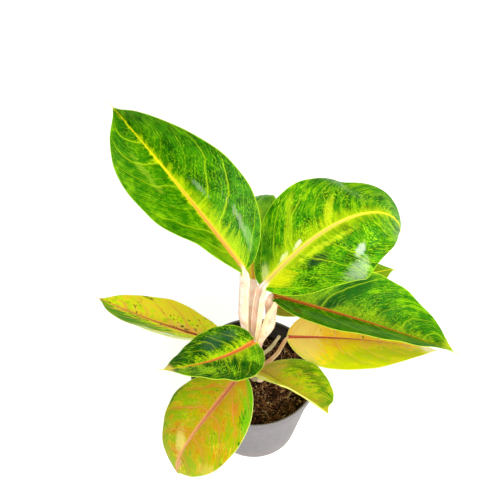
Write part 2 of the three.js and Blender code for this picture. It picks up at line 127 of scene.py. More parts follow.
table_mesh = bpy.data.meshes.new("table")
turns = [2 * math.pi * i / TABLE_POINTS for i in range(TABLE_POINTS)]
edge = [(TABLE_RADIUS * math.cos(t), TABLE_RADIUS * math.sin(t), TABLE_TOP) for t in turns]
table_mesh.from_pydata(edge, [], [range(TABLE_POINTS)])
table = bpy.data.objects.new("table", table_mesh)
scene.collection.objects.link(table)
table_white = bpy.data.materials.new("white table")
table_white.use_nodes = True
table_shader = table_white.node_tree.nodes["Principled BSDF"].inputs
table_shader["Base Color"].default_value = TABLE_PAINT
table_shader["Roughness"].default_value = 0.8
table_shader["Specular IOR Level"].default_value = 0.1
table_shader["Emission Color"].default_value = WHITE
table_shader["Emission Strength"].default_value = TABLE_GLOW
table_mesh.materials.append(table_white)
print("table radius in metres:", TABLE_RADIUS)

# %% [markdown]
# Shader nodes are wired by a small helper, which adds one node per call and hands back its output.
# Node trees could be clicked together in the editor, but wiring them here keeps each step readable.

# %% A helper for wiring shader nodes
class Wiring:
    """One node tree. Each method adds a node and returns the socket that carries its result."""

    def __init__(self, tree):
        self.tree = tree

    def add(self, kind, feeds=None, **settings):
        """A new node. Its settings are set on it, and its feeds go to its inputs."""
        node = self.tree.nodes.new(kind)
        for name, value in settings.items():
            setattr(node, name, value)
        for socket, value in (feeds or {}).items():
            self.feed(node.inputs[socket], value)
        return node

    def feed(self, socket, value):
        """Links an output to a socket, or puts a plain value on it."""
        if isinstance(value, bpy.types.NodeSocket):
            self.tree.links.new(value, socket)
        else:
            socket.default_value = value

    def math(self, operation, first, second=0.0, third=0.0):
        feeds = {0: first, 1: second, 2: third}
        return self.add("ShaderNodeMath", feeds, operation=operation).outputs[0]

    def ramp(self, value, low, high):
        """Rises smoothly from 0 at low to 1 at high, or falls where low is the larger."""
        feeds = {"Value": value, "From Min": low, "From Max": high}
        node = self.add("ShaderNodeMapRange", feeds, interpolation_type="SMOOTHSTEP")
        return node.outputs["Result"]

    def blend(self, mask, first, second):
        """The first colour where the mask is 0 and the second where it is 1."""
        node = self.add("ShaderNodeMix", {0: mask}, data_type="RGBA")
        self.feed(node.inputs[6], first)
        self.feed(node.inputs[7], second)
        return node.outputs[2]

    def glaze(self, base, tone, mask, amount):
        """The base colour with a tone over it, as strong as the mask times the amount."""
        return self.blend(self.math("MULTIPLY", mask, amount), base, tone)

    def join(self, x, y, z=0.0):
        return self.add("ShaderNodeCombineXYZ", {"X": x, "Y": y, "Z": z}).outputs[0]

    def split(self, vector):
        return self.add("ShaderNodeSeparateXYZ", {"Vector": vector}).outputs

    def read(self, attribute):
        """The three numbers that a mesh stores on its points under this name."""
        node = self.add("ShaderNodeAttribute", attribute_name=attribute)
        return self.split(node.outputs["Vector"])

    def noise(self, place, scale, detail=2.0, rough=0.5):
        feeds = {"Vector": place, "Scale": scale, "Detail": detail, "Roughness": rough}
        return self.add("ShaderNodeTexNoise", feeds).outputs["Fac"]

    def drift(self, place, scale, detail=2.0, rough=0.5):
        """Noise that swings about zero."""
        return self.math("SUBTRACT", self.noise(place, scale, detail, rough), 0.5)

    def object_place(self):
        """Where a point of the surface lies, in metres."""
        return self.add("ShaderNodeTexCoord").outputs["Object"]

    def bump(self, height, strength, distance):
        feeds = {"Height": height, "Strength": strength, "Distance": distance}
        return self.add("ShaderNodeBump", feeds).outputs["Normal"]

    def use(self, group, **feeds):
        """Places a node group, with its inputs named with underscores for spaces."""
        node = self.add("ShaderNodeGroup", node_tree=group)
        for name, value in feeds.items():
            self.feed(node.inputs[name.replace("_", " ")], value)
        return node.outputs


print("wiring methods:", [name for name in vars(Wiring) if not name.startswith("_")])


# %% Helpers for groups, colours and materials
def group(name, inputs, outputs):
    """An empty node group, whose inputs map a name to a number and whose outputs are numbers too."""
    tree = bpy.data.node_groups.new(name, "ShaderNodeTree")
    for label, value in inputs.items():
        socket = tree.interface.new_socket(name=label, in_out="INPUT", socket_type="NodeSocketFloat")
        socket.default_value = value
    for label in outputs:
        tree.interface.new_socket(name=label, in_out="OUTPUT", socket_type="NodeSocketFloat")
    wiring = Wiring(tree)
    taken = wiring.add("NodeGroupInput").outputs
    given = wiring.add("NodeGroupOutput").inputs
    print("group:", name)
    return tree, wiring, taken, given


def colour(code):
    """Six hexadecimal digits, as a screen shows the colour, to the linear values that shaders need."""
    shown = [int(code[i:i + 2], 16) / 255 for i in (0, 2, 4)]
    linear = [c / 12.92 if c <= 0.04045 else ((c + 0.055) / 1.055) ** 2.4 for c in shown]
    return (*linear, 1.0)


def material(name):
    """A new material, with its wiring and the sockets of its Principled shader."""
    made = bpy.data.materials.new(name)
    made.use_nodes = True
    return made, Wiring(made.node_tree), made.node_tree.nodes["Principled BSDF"].inputs


def dress(w, shader, base, height, rough, varied, relief, depth):
    """Feeds a shader its colour, and its roughness and relief from one height. Depth is in metres."""
    w.feed(shader["Base Color"], base)
    w.feed(shader["Roughness"], w.math("MULTIPLY_ADD", height, varied, rough))
    w.feed(shader["Normal"], w.bump(height, relief, depth))


print("middle grey in linear light:", colour("808080")[:3])

# %% [markdown]
# Fine grain is on every surface here: the mould's texture on the pot, the cells of a leaf, the crumbs
# of the mix. One group gives it, as a height for relief and as a coarser shade to vary colour with.

# %% Grain, shared by all finishes
MM = 0.001
SHADE_COARSER = 9.0

grain, w, taken, given = group("fine grain", {"Size in mm": 1.0, "Stretch": 1.0}, ["Height", "Shade"])
x, y, z = w.split(w.object_place())
scale = w.math("DIVIDE", 1 / MM, taken["Size in mm"])
squeezed = w.join(x, y, w.math("DIVIDE", z, taken["Stretch"]))
w.feed(given["Height"], w.noise(squeezed, scale, 4.0, 0.6))
w.feed(given["Shade"], w.noise(squeezed, w.math("DIVIDE", scale, SHADE_COARSER), 3.0, 0.55))

# %% [markdown]
# Meshes are made from arrays of points. One helper turns points and faces into a Blender object, with
# any values that the shaders read later stored on its points. Others join rings of points into a
# closed skin, because the pot, the mix, the cane and the fibres are all rows of rings.

# %% Helpers for making pieces
def piece(name, points, faces, finishes, values=None, finish_of_face=None, crease=60, flat=None):
    """An object from points in millimetres and faces, which rides on the plant's one body.

    Values are vectors to store on the points, and flat is a flat place for each face corner.
    """
    mesh = bpy.data.meshes.new(name)
    mesh.from_pydata((np.asarray(points) * MM).tolist(), [], faces)
    for finish in finishes:
        mesh.materials.append(finish)
    if finish_of_face is not None:
        mesh.polygons.foreach_set("material_index", finish_of_face)
    for label, value in (values or {}).items():
        stored = mesh.attributes.new(label, "FLOAT_VECTOR", "POINT")
        stored.data.foreach_set("vector", np.asarray(value, np.float32).ravel())
    if flat is not None:
        mesh.uv_layers.new(name="OFBake").data.foreach_set("uv", np.asarray(flat, np.float32).ravel())
    mesh.shade_smooth()
    mesh.set_sharp_from_angle(angle=math.radians(crease))
    mesh.validate()
    made = bpy.data.objects.new(name, mesh)
    bpy.context.scene.collection.objects.link(made)
    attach(made, "root")
    print(name, "faces:", len(mesh.polygons))
    return made


def level_ring(radius, height, count):
    """Points of a level circle about the pot's axis."""
    turn = 2 * np.pi * np.arange(count) / count
    return np.stack([radius * np.cos(turn), radius * np.sin(turn), np.full(count, float(height))], -1)


def bands(rings, around):
    """Faces between rings of points, from the number of rings and of points round each."""
    faces = []
    for k in range(rings - 1):
        for i in range(around):
            a, b = k * around + i, k * around + (i + 1) % around
            faces.append((a, b, b + around, a + around))
    return faces


def skinned(rings, foot, head):
    """Points and faces of a skin over rings, closed to a point at its foot and at its head."""
    around = len(rings[0])
    points = np.vstack([*rings, foot, head])
    faces = bands(len(rings), around)
    top = (len(rings) - 1) * around
    faces += [(len(points) - 2, (i + 1) % around, i) for i in range(around)]
    faces += [(len(points) - 1, top + i, top + (i + 1) % around) for i in range(around)]
    return points, faces


print("faces between three rings of eight:", len(bands(3, 8)))

# %% [markdown]
# The pot is thin moulded plastic, grey outside and charcoal inside, with a band round its rim and
# drain holes in a raised ring of its floor. It is turned from one profile, as a mould for it would
# be. A scaled cylinder has no wall, rim or floor, so it isn't used.

# %% Pot: sizes
POT_RIM_RADIUS = 60.0
POT_HEIGHT = 94.0
POT_BASE_RADIUS = 42.0
POT_WALL = 1.5
WAIST_HEIGHT = 41.5
WAIST_DRAWN_IN = 0.3
NECK_DRAWN_IN = 0.7
RIM_FOOT = 83.0
RIM_STEP = 2.0
RIM_THICKNESS = 1.8
BAND_TAPER = 0.6
BAND_RISE = 1.2
LIP_STEP = 0.2
LIP_TOP = 1.6
LIP_FOOT = 2.2
INNER_BEND_TOP = 1.6
INNER_BEND_FOOT = 1.0
INNER_WAIST_HEIGHT = 40.0
CHANNEL_INNER = 23.0
CHANNEL_OUTER = 35.0
CHANNEL_DEPTH = 2.5
CHANNEL_SLOPE_BELOW = 1.5
CHANNEL_SLOPE_ABOVE = 1.0
EDGE_ROUNDING = 0.9


def pot_radius(z):
    """Outer radius of the pot's wall below its rim band."""
    return POT_BASE_RADIUS + (POT_RIM_RADIUS - RIM_STEP - POT_BASE_RADIUS) * z / RIM_FOOT


print("pot radius under the band:", pot_radius(RIM_FOOT))


# %% Pot: profile
def rounded(corners, radius, steps=5, most=0.45):
    """A line through corners, with a small arc at each one but the ends.

    An arc reaches about the given radius along its two sides, and at most that share of each.
    """
    line = [corners[0]]
    for before, corner, after in zip(corners, corners[1:], corners[2:]):
        before, corner, after = (np.array(p, float) for p in (before, corner, after))
        into, out = before - corner, after - corner
        reach = min(radius, most * np.hypot(*into), most * np.hypot(*out))
        start = corner + into / np.hypot(*into) * reach
        end = corner + out / np.hypot(*out) * reach
        for t in np.linspace(0, 1, steps):
            line.append(tuple((1 - t) ** 2 * start + 2 * t * (1 - t) * corner + t * t * end))
    line.append(corners[-1])
    return line


pot_outside = [
    (0.0, 0.0),
    (CHANNEL_INNER, 0.0),
    (CHANNEL_INNER + CHANNEL_SLOPE_BELOW, CHANNEL_DEPTH),
    (CHANNEL_OUTER - CHANNEL_SLOPE_BELOW, CHANNEL_DEPTH),
    (CHANNEL_OUTER, 0.0),
    (POT_BASE_RADIUS, 0.0),
    (pot_radius(WAIST_HEIGHT) - WAIST_DRAWN_IN, WAIST_HEIGHT),
    (pot_radius(RIM_FOOT) - NECK_DRAWN_IN, RIM_FOOT),
    (POT_RIM_RADIUS - BAND_TAPER, RIM_FOOT + BAND_RISE),
    (POT_RIM_RADIUS - LIP_STEP, POT_HEIGHT - LIP_FOOT),
    (POT_RIM_RADIUS, POT_HEIGHT - LIP_TOP),
    (POT_RIM_RADIUS, POT_HEIGHT),
]
pot_inside = [
    (POT_RIM_RADIUS - RIM_THICKNESS, POT_HEIGHT),
    (pot_radius(RIM_FOOT) - POT_WALL + BAND_RISE, RIM_FOOT + INNER_BEND_TOP),
    (pot_radius(RIM_FOOT) - POT_WALL, RIM_FOOT - INNER_BEND_FOOT),
    (pot_radius(INNER_WAIST_HEIGHT) - POT_WALL, INNER_WAIST_HEIGHT),
    (pot_radius(POT_WALL) - POT_WALL, POT_WALL),
    (CHANNEL_OUTER + CHANNEL_SLOPE_ABOVE, POT_WALL),
    (CHANNEL_OUTER, POT_WALL + CHANNEL_DEPTH),
    (CHANNEL_INNER, POT_WALL + CHANNEL_DEPTH),
    (CHANNEL_INNER - CHANNEL_SLOPE_ABOVE, POT_WALL),
    (0.0, POT_WALL),
]
pot_profile = rounded(pot_outside + pot_inside, EDGE_ROUNDING)
print("pot profile points:", len(pot_profile))

# %% [markdown]
# The pot's grey plastic is matte, with a faint mottle and fine scuffs that run round it. Low down a
# lighter, warmer mottle is painted light, bounced up from the white table. The charcoal inside is a
# second layer of plastic with soil splashes near the mix.

# %% Pot: finishes
pot_grey, w, shader = material("pot grey plastic")
skin = w.use(grain, Size_in_mm=0.7, Stretch=1.0)
scuffs = w.use(grain, Size_in_mm=3.0, Stretch=0.12)
height = w.split(w.object_place())[2]
base = w.blend(w.ramp(skin["Shade"], 0.3, 0.7), colour("645f61"), colour("6c6768"))
base = w.blend(w.ramp(scuffs["Height"], 0.6, 0.9), base, colour("868082"))
# Painted light: a lighter, warmer mottle near the foot, for light bounced up from the white table
base = w.glaze(base, colour("807268"), w.ramp(height, 0.022, 0.0), w.ramp(skin["Height"], 0.35, 0.7))
w.feed(shader["Base Color"], base)
w.feed(shader["Roughness"], w.math("MULTIPLY_ADD", scuffs["Height"], 0.25, 0.38))
w.feed(shader["Normal"], w.bump(skin["Height"], 0.12, 0.0003))

pot_charcoal, w, shader = material("pot charcoal lining")
skin = w.use(grain, Size_in_mm=1.2, Stretch=1.0)
height = w.split(w.object_place())[2]
base = w.blend(w.ramp(skin["Shade"], 0.3, 0.7), colour("1f1c1b"), colour("2c2827"))
base = w.glaze(base, colour("4a3424"), w.ramp(height, 0.090, 0.076), w.ramp(skin["Height"], 0.52, 0.6))
dress(w, shader, base, skin["Height"], rough=0.4, varied=0.3, relief=0.15, depth=0.0003)
print("pot finishes:", pot_grey.name, "and", pot_charcoal.name)

# %% Pot: piece
POT_TURNS = 160
LINING_FLOOR = 1.2
LINING_DEPTH = 0.75
LINING_EDGE = 2.0

pot_rings = [level_ring(radius, z, POT_TURNS) for radius, z in pot_profile[1:-1]]
pot_points, pot_faces = skinned(pot_rings, (0, 0, 0), (0, 0, POT_WALL))


def is_lining(face):
    """True for faces of the pot's inside, from the rim's inner edge down."""
    x, y, z = np.mean([pot_points[i] for i in face], axis=0)
    if z < RIM_FOOT:
        edge = pot_radius(z) - LINING_DEPTH * POT_WALL
    else:
        edge = POT_RIM_RADIUS - LINING_EDGE
    return z > LINING_FLOOR and math.hypot(x, y) < edge


pot = piece(
    "nursery_pot", pot_points, pot_faces, [pot_grey, pot_charcoal],
    finish_of_face=[int(is_lining(face)) for face in pot_faces], crease=35,
)
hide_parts("pot")

# %% Pot: drain holes
DRAIN_HOLES = 8
DRAIN_HOLE_RADIUS = 3.5
DRILL_LENGTH = 20.0

for i in range(DRAIN_HOLES):
    angle = 2 * math.pi * (i + 0.5) / DRAIN_HOLES
    middle = (CHANNEL_INNER + CHANNEL_OUTER) / 2 * MM
    bpy.ops.mesh.primitive_cylinder_add(
        vertices=32, radius=DRAIN_HOLE_RADIUS * MM, depth=DRILL_LENGTH * MM,
        location=(middle * math.cos(angle), middle * math.sin(angle), 0),
    )
    drill = bpy.context.object
    cut = pot.modifiers.new("drain hole", "BOOLEAN")
    cut.operation = "DIFFERENCE"
    cut.object = drill
    bpy.context.view_layer.objects.active = pot
    bpy.ops.object.modifier_apply(modifier=cut.name)
    bpy.data.objects.remove(drill)
print("pot with", DRAIN_HOLES, "drain holes")

# %% [markdown]
# The potting mix is coir, peat and bark. Its top is dark and lumpy, and on it lie separate crumbs,
# chips and fibres, because the real one is loose: at this distance the shadows between its pieces are
# what the eye reads. A bump map alone stays flat at the edges, so the crumbs are meshes.

# %% Potting mix: surface
SOIL_LEVEL = 74.0
SOIL_FLOOR_GAP = 0.3
SOIL_FOOT_BEVEL = 1.0
SOIL_WALL_STEPS = (30.0, 60.0)
SOIL_CLEARANCE = 0.4
SOIL_RINGS = 70
SOIL_TURNS = 180
HEAP_HEIGHT = 1.1
LUMP_SHARE = 0.7
CRUMB_RELIEF = 1.1
GRIT_RELIEF = 0.5


def soil_height(x, y):
    """Height of the mix: the heaps of the packed model, with crumbs and grit on them."""
    heaps = math.sin(x * 0.17 + 1.3) * math.cos(y * 0.15 - 0.4)
    lumps = math.sin(x * 0.43 - y * 0.31 + 2.1) * math.sin(y * 0.47 + x * 0.22)
    crumbs = noise.noise(Vector((x * 0.45, y * 0.45, 3.0))) * CRUMB_RELIEF
    grit = noise.noise(Vector((x * 1.3, y * 1.3, 8.0))) * GRIT_RELIEF
    return SOIL_LEVEL + HEAP_HEIGHT * (heaps + LUMP_SHARE * lumps) + crumbs + grit


def soil_radius(z):
    """Radius of the mix at a height, just clear of the pot's inside."""
    return pot_radius(z) - POT_WALL - SOIL_CLEARANCE


soil_foot = POT_WALL + SOIL_FLOOR_GAP
over_channel = POT_WALL + CHANNEL_DEPTH + SOIL_CLEARANCE
soil_underside = [
    (CHANNEL_INNER - SOIL_CLEARANCE, over_channel),
    (CHANNEL_OUTER + SOIL_CLEARANCE, over_channel),
    (CHANNEL_OUTER + CHANNEL_SLOPE_ABOVE + SOIL_CLEARANCE, soil_foot),
    *[(soil_radius(z), z) for z in (soil_foot + SOIL_FOOT_BEVEL, *SOIL_WALL_STEPS)],
]
soil_edge = soil_radius(SOIL_LEVEL)
soil_rings = [level_ring(radius, z, SOIL_TURNS) for radius, z in soil_underside]
for k in range(SOIL_RINGS, 0, -1):
    ring = level_ring(soil_edge * k / SOIL_RINGS, 0.0, SOIL_TURNS)
    ring[:, 2] = [soil_height(x, y) for x, y, z in ring]
    soil_rings.append(ring)
soil_points, soil_faces = skinned(soil_rings, (0, 0, soil_foot), (0, 0, soil_height(0, 0)))
# A face with four corners is cut in two from its first one, so these start at their second
soil_faces = [face[1:] + face[:1] if len(face) == 4 else face for face in soil_faces]
print("potting mix rings:", len(soil_rings))

# %% [markdown]
# The mix's finish runs from near black to the orange-brown of dry coir. Each loose crumb carries its
# own shade number, so neighbours differ as they do in a real handful.

# %% Potting mix: finishes
SOIL_SHINE = 0.12

peat, w, shader = material("dark peat")
skin = w.use(grain, Size_in_mm=1.4, Stretch=1.0)
base = w.blend(w.ramp(skin["Shade"], 0.35, 0.65), colour("0e0604"), colour("24120b"))
base = w.blend(w.ramp(skin["Height"], 0.55, 0.75), base, colour("4a2c1c"))
dress(w, shader, base, skin["Height"], rough=0.75, varied=0.2, relief=0.8, depth=0.001)
shader["Specular IOR Level"].default_value = SOIL_SHINE

crumb_brown, w, shader = material("bark and coir")
skin = w.use(grain, Size_in_mm=0.8, Stretch=1.0)
shade = w.read("crumb_shade")[0]
base = w.blend(w.ramp(shade, 0.0, 0.55), colour("0c0503"), colour("5a3420"))
base = w.blend(w.ramp(shade, 0.5, 0.9), base, colour("b8845a"))
base = w.blend(w.ramp(shade, 0.9, 1.0), base, colour("f8dcb0"))
base = w.blend(w.ramp(skin["Height"], 0.5, 0.75), base, colour("200f09"))
dress(w, shader, base, skin["Height"], rough=0.7, varied=0.2, relief=0.6, depth=0.0006)
shader["Specular IOR Level"].default_value = SOIL_SHINE

potting_mix = piece("potting_mix_surface", soil_points, soil_faces, [peat])
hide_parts("potting_mix")

# %% Potting mix: where loose bits lie
CANE_FOOT = np.array((2.0, 5.0, SOIL_LEVEL))
CANE_LEAN = np.array((-0.06, 0.12, 1.0))
CANE_FOOT_RADIUS = 6.4
ROUND_THE_CANE = 1.5

draw = random.Random(11)
loose_points, loose_faces, loose_shades = [], [], []


def spot_on_soil(margin):
    """A place on the mix, clear of the pot's wall and of the cane."""
    while True:
        angle, radius = draw.uniform(0, 2 * math.pi), (soil_edge - margin) * math.sqrt(draw.random())
        x, y = radius * math.cos(angle), radius * math.sin(angle)
        if math.hypot(x - CANE_FOOT[0], y - CANE_FOOT[1]) > CANE_FOOT_RADIUS + ROUND_THE_CANE:
            return x, y


def turned_at_random(points, level):
    """The points tipped a little, up to level in radians, and turned any way round."""
    turn = (draw.uniform(-level, level), draw.uniform(-level, level), draw.uniform(0, 2 * math.pi))
    return points @ np.array(Euler(turn).to_matrix()).T


def scatter(points, faces, shade):
    """Adds one loose bit to the lists, with the same shade on all its points."""
    start = len(loose_points)
    loose_points.extend(points.tolist())
    loose_faces.extend([tuple(i + start for i in face) for face in faces])
    loose_shades.extend([(shade, 0, 0)] * len(points))


print("loose bits start", ROUND_THE_CANE, "mm from the cane")

# %% Potting mix: crumbs and chips
CRUMBS = 3600
CHIPS = 230
CRUMB_SIZES = (0.35, 1.15)
CHIP_SIZES = (1.4, 3.0)
CRUMB_TIP = 0.5
CRUMB_LIFT = 0.1
GOLDEN_RATIO = (1 + math.sqrt(5)) / 2
KNOB_POINTS = np.array([
    (-1, GOLDEN_RATIO, 0), (1, GOLDEN_RATIO, 0), (-1, -GOLDEN_RATIO, 0), (1, -GOLDEN_RATIO, 0),
    (0, -1, GOLDEN_RATIO), (0, 1, GOLDEN_RATIO), (0, -1, -GOLDEN_RATIO), (0, 1, -GOLDEN_RATIO),
    (GOLDEN_RATIO, 0, -1), (GOLDEN_RATIO, 0, 1), (-GOLDEN_RATIO, 0, -1), (-GOLDEN_RATIO, 0, 1),
]) / math.hypot(1, GOLDEN_RATIO)
KNOB_FACES = [
    (0, 11, 5), (0, 5, 1), (0, 1, 7), (0, 7, 10), (0, 10, 11), (1, 5, 9), (5, 11, 4), (11, 10, 2),
    (10, 7, 6), (7, 1, 8), (3, 9, 4), (3, 4, 2), (3, 2, 6), (3, 6, 8), (3, 8, 9), (4, 9, 5),
    (2, 4, 11), (6, 2, 10), (8, 6, 7), (9, 8, 1),
]

for i in range(CRUMBS + CHIPS):
    chip = i >= CRUMBS
    size = draw.uniform(*(CHIP_SIZES if chip else CRUMB_SIZES))
    lump = KNOB_POINTS * [size, size * draw.uniform(0.4, 0.8), size * draw.uniform(0.25, 0.6)]
    lump = lump * np.array([[draw.uniform(0.75, 1.15)] for _ in KNOB_POINTS])
    x, y = spot_on_soil(size + 0.3)
    lump = turned_at_random(lump, CRUMB_TIP) + [x, y, soil_height(x, y) + CRUMB_LIFT * size]
    scatter(lump, KNOB_FACES, draw.uniform(0.1, 1.0) if chip else draw.random() ** 1.6)
print("crumbs and chips:", CRUMBS + CHIPS)

# %% Potting mix: fibres
FIBRES = 1100
FIBRE_LENGTHS = (4, 12)
FIBRE_RADII = (0.12, 0.30)
FIBRE_ARCHES = (0.1, 0.9)
FIBRE_SIDES = 4
FIBRE_STEPS = 7
FIBRE_FACES = bands(FIBRE_STEPS, FIBRE_SIDES) + [
    tuple(reversed(range(FIBRE_SIDES))),
    tuple(range((FIBRE_STEPS - 1) * FIBRE_SIDES, FIBRE_STEPS * FIBRE_SIDES)),
]


def fibre(x, y, heading, length, thick, bend, arch):
    """Points of a fibre that lies on the mix, bent sideways and arched up in its middle."""
    ahead = np.array((math.cos(heading), math.sin(heading)))
    aside = np.array((-math.sin(heading), math.cos(heading)))
    points = []
    for t in np.linspace(-1, 1, FIBRE_STEPS):
        bow = 1 - t * t
        centre = (x, y) + ahead * t * length / 2 + aside * bend * bow / 3
        height = soil_height(*centre) + thick + arch * bow
        for j in range(FIBRE_SIDES):
            turn = 2 * math.pi * j / FIBRE_SIDES
            wide = centre + aside * thick * math.cos(turn)
            points.append((*wide, height + thick * math.sin(turn)))
    return np.array(points)


for i in range(FIBRES):
    length = draw.uniform(*FIBRE_LENGTHS)
    thick = draw.uniform(*FIBRE_RADII)
    bend = draw.uniform(-0.5, 0.5) * length
    arch = draw.uniform(*FIBRE_ARCHES)
    x, y = spot_on_soil(length / 2 + 0.5)
    heading = draw.uniform(0, 2 * math.pi)
    points = fibre(x, y, heading, length, thick, bend, arch)
    scatter(points, FIBRE_FACES, draw.uniform(0.25, 1.0))
print("fibres:", FIBRES)

loose = piece(
    "bark_and_coir", loose_points, loose_faces, [crumb_brown],
    values={"crumb_shade": loose_shades}, crease=30,
)

# %% [markdown]
# All leaves share one build. A leaf's midrib leaves the base with a heading and a pitch that change
# along it, and its blade folds up from the midrib and curls down again to a waved margin. These are
# the packed model's own numbers, so each finer leaf lies where its solid lies. A leaf could be a flat
# plane with a cut-out picture, but from the side a plane shows no thickness and casts a false shadow.

# %% Leaves: their shapes
LEAVES = {
    "leaf_upper_left": dict(
        base=(-12, 16, 143), length=182, width=101, heading=139, sweep=-7, pitch=41, droop=24, late=1,
        roll=20, twist=-74, fold=36, curl=1, wave=1, waves=2, phase=0, lobe=3, blunt=0.6,
        clasp=180, node=38, spread=51, sheath=5.2, petiole=3.2),
    "leaf_back": dict(
        base=(-3, 36, 105), length=121, width=52, heading=91, sweep=2, pitch=61, droop=128, late=1.1,
        roll=-8, twist=8, fold=15, curl=15, wave=2, waves=1.5, phase=0, lobe=0, blunt=0.75,
        clasp=94, node=38, spread=32, sheath=3.8, petiole=2.7),
    "leaf_upper_right": dict(
        base=(6, 10, 131), length=185, width=107, heading=43, sweep=-21, pitch=23, droop=103, late=2,
        roll=-3, twist=38, fold=2, curl=22, wave=12.5, waves=1.5, phase=-97, lobe=3, blunt=0.6,
        clasp=None, node=43.7, spread=0, sheath=3.8, petiole=3.1),
    "leaf_right": dict(
        base=(17, 17, 105), length=181, width=89, heading=-15, sweep=18, pitch=-5, droop=30, late=1,
        roll=8, twist=-20, fold=38, curl=1, wave=1, waves=2, phase=60, lobe=3, blunt=0.6,
        clasp=336, node=38, spread=37, sheath=4.9, petiole=3),
    "leaf_right_back": dict(
        base=(15, 29, 70), length=125, width=60, heading=20, sweep=0, pitch=18, droop=30, late=1,
        roll=-5, twist=0, fold=15, curl=15, wave=1.5, waves=2, phase=30, lobe=3, blunt=0.6,
        clasp=38, node=37, spread=21, sheath=3, petiole=2.4),
    "leaf_lower_right": dict(
        base=(32, 21, 36), length=144, width=77, heading=3, sweep=-9, pitch=-3, droop=8, late=1,
        roll=8, twist=-44, fold=7, curl=20, wave=1, waves=2, phase=120, lobe=3, blunt=0.6,
        clasp=22, node=4, spread=31, sheath=2.6, petiole=2.1),
    "leaf_front_right": dict(
        base=(3, -8, 25), length=98, width=75, heading=-48, sweep=-4, pitch=23, droop=0, late=1,
        roll=-17, twist=-27, fold=23, curl=3, wave=1, waves=2, phase=200, lobe=1, blunt=0.62,
        clasp=308, node=3, spread=33, sheath=3, petiole=2.3),
    "leaf_centre_left": dict(
        base=(-4, -20, 87), length=95, width=59, heading=229, sweep=-31, pitch=20, droop=0, late=1,
        roll=-22, twist=50, fold=13, curl=14, wave=0.8, waves=2, phase=0, lobe=6, blunt=0.48,
        clasp=264, node=27, spread=29, sheath=3.4, petiole=2.4),
    "leaf_front": dict(
        base=(-15, -29, 49), length=127, width=84, heading=232, sweep=-25, pitch=-16, droop=79, late=1.6,
        roll=16, twist=-35, fold=6, curl=21, wave=1, waves=2, phase=90, lobe=3, blunt=0.6,
        clasp=217, node=7, spread=27, sheath=2.8, petiole=2.2),
    "leaf_left": dict(
        base=(-29, 17, 31), length=133, width=70, heading=168, sweep=-16, pitch=8, droop=6, late=1,
        roll=36, twist=-19, fold=19, curl=7, wave=1, waves=2, phase=30, lobe=3, blunt=0.6,
        clasp=156, node=4, spread=29, sheath=2.8, petiole=2.2),
}
print("leaves:", len(LEAVES))

# %% [markdown]
# A real leaf is less even than its solid. So each gets a few numbers more: the height in millimetres
# of the raised edges of its sheath, how stout its stalk is, how far its margin ruffles, its side veins
# and, where the photograph shows a notch or a bump in the margin, a dent.

# %% Leaves: finer shapes
# A dent: place along and across, reach along and across, and millimetres down and inward
FINER = dict(wing=1.0, stout=1.0, ruffle=0.8, veins=7.3, dents=[])
FINER_OWN = {
    "leaf_upper_left": dict(
        wing=3.0, stout=1.22,
        dents=[(0.25, 1.0, 0.06, 0.4, 0.0, 3.2), (0.40, 1.0, 0.06, 0.4, 0.0, -1.2)]),
    "leaf_back": dict(wing=2.0, stout=1.4),
    "leaf_upper_right": dict(
        wing=2.8, stout=1.4,
        dents=[
            (0.68, 0.78, 0.05, 0.35, 6.0, 0.0), (0.55, 0.90, 0.05, 0.35, -2.5, 0.0),
            (0.60, -0.62, 0.04, 0.22, 6.0, 0.0), (0.69, -0.45, 0.04, 0.22, -2.0, 0.0)]),
    "leaf_right": dict(wing=3.4, stout=1.6),
    "leaf_lower_right": dict(wing=0.2, stout=0.85, ruffle=0.15, veins=6.0),
    "leaf_front_right": dict(ruffle=0.3, veins=6.0, dents=[(0.92, 1.0, 0.035, 0.5, 0.0, 2.6)]),
    "leaf_front": dict(ruffle=0.5, veins=5.0),
    "leaf_left": dict(ruffle=0.2, veins=6.0),
}
for name, leaf in LEAVES.items():
    leaf.update(FINER | FINER_OWN.get(name, {}))
print("leaves with dents:", [name for name, leaf in LEAVES.items() if leaf["dents"]])


# %% Leaves: midrib and outline
TIP_POWER = 0.85
DRIP_TIP = 0.07
DRIP_NARROWING = 0.45
MIDRIB_REACH = 1.1
MIDRIB_POINTS = 881


def smooth(value, low, high):
    """Rises smoothly from 0 at low to 1 at high."""
    t = np.clip((np.asarray(value, float) - low) / (high - low), 0, 1)
    return t * t * (3 - 2 * t)


def unit(vectors):
    return vectors / np.linalg.norm(vectors, axis=-1, keepdims=True)


def midrib_direction(leaf, s):
    pitch = np.radians(leaf["pitch"] - leaf["droop"] * np.power(s, leaf["late"]))
    heading = np.radians(leaf["heading"] + leaf["sweep"] * s)
    return np.stack([np.cos(pitch) * np.cos(heading), np.cos(pitch) * np.sin(heading), np.sin(pitch)], -1)


def midrib_points(leaf, s):
    """Places on the midrib, summed up in short straight steps from the blade's base."""
    fine = np.linspace(0, MIDRIB_REACH, MIDRIB_POINTS)
    steps = midrib_direction(leaf, (fine[1:] + fine[:-1]) / 2) * leaf["length"] * (fine[1] - fine[0])
    path = np.vstack([np.zeros(3), np.cumsum(steps, axis=0)]) + CANE_FOOT + leaf["base"]
    return np.stack([np.interp(s, fine, path[:, k]) for k in range(3)], -1)


def midrib_frame(leaf, s):
    """Directions on the midrib: along it, to its left, and up out of the upper face."""
    along = midrib_direction(leaf, s)
    heading = np.radians(leaf["heading"] + leaf["sweep"] * s)
    level = np.stack([-np.sin(heading), np.cos(heading), 0 * heading], -1)
    upright = np.cross(along, level)
    roll = np.radians(leaf["roll"] + leaf["twist"] * s)[..., None]
    return along, level * np.cos(roll) + upright * np.sin(roll), upright * np.cos(roll) - level * np.sin(roll)


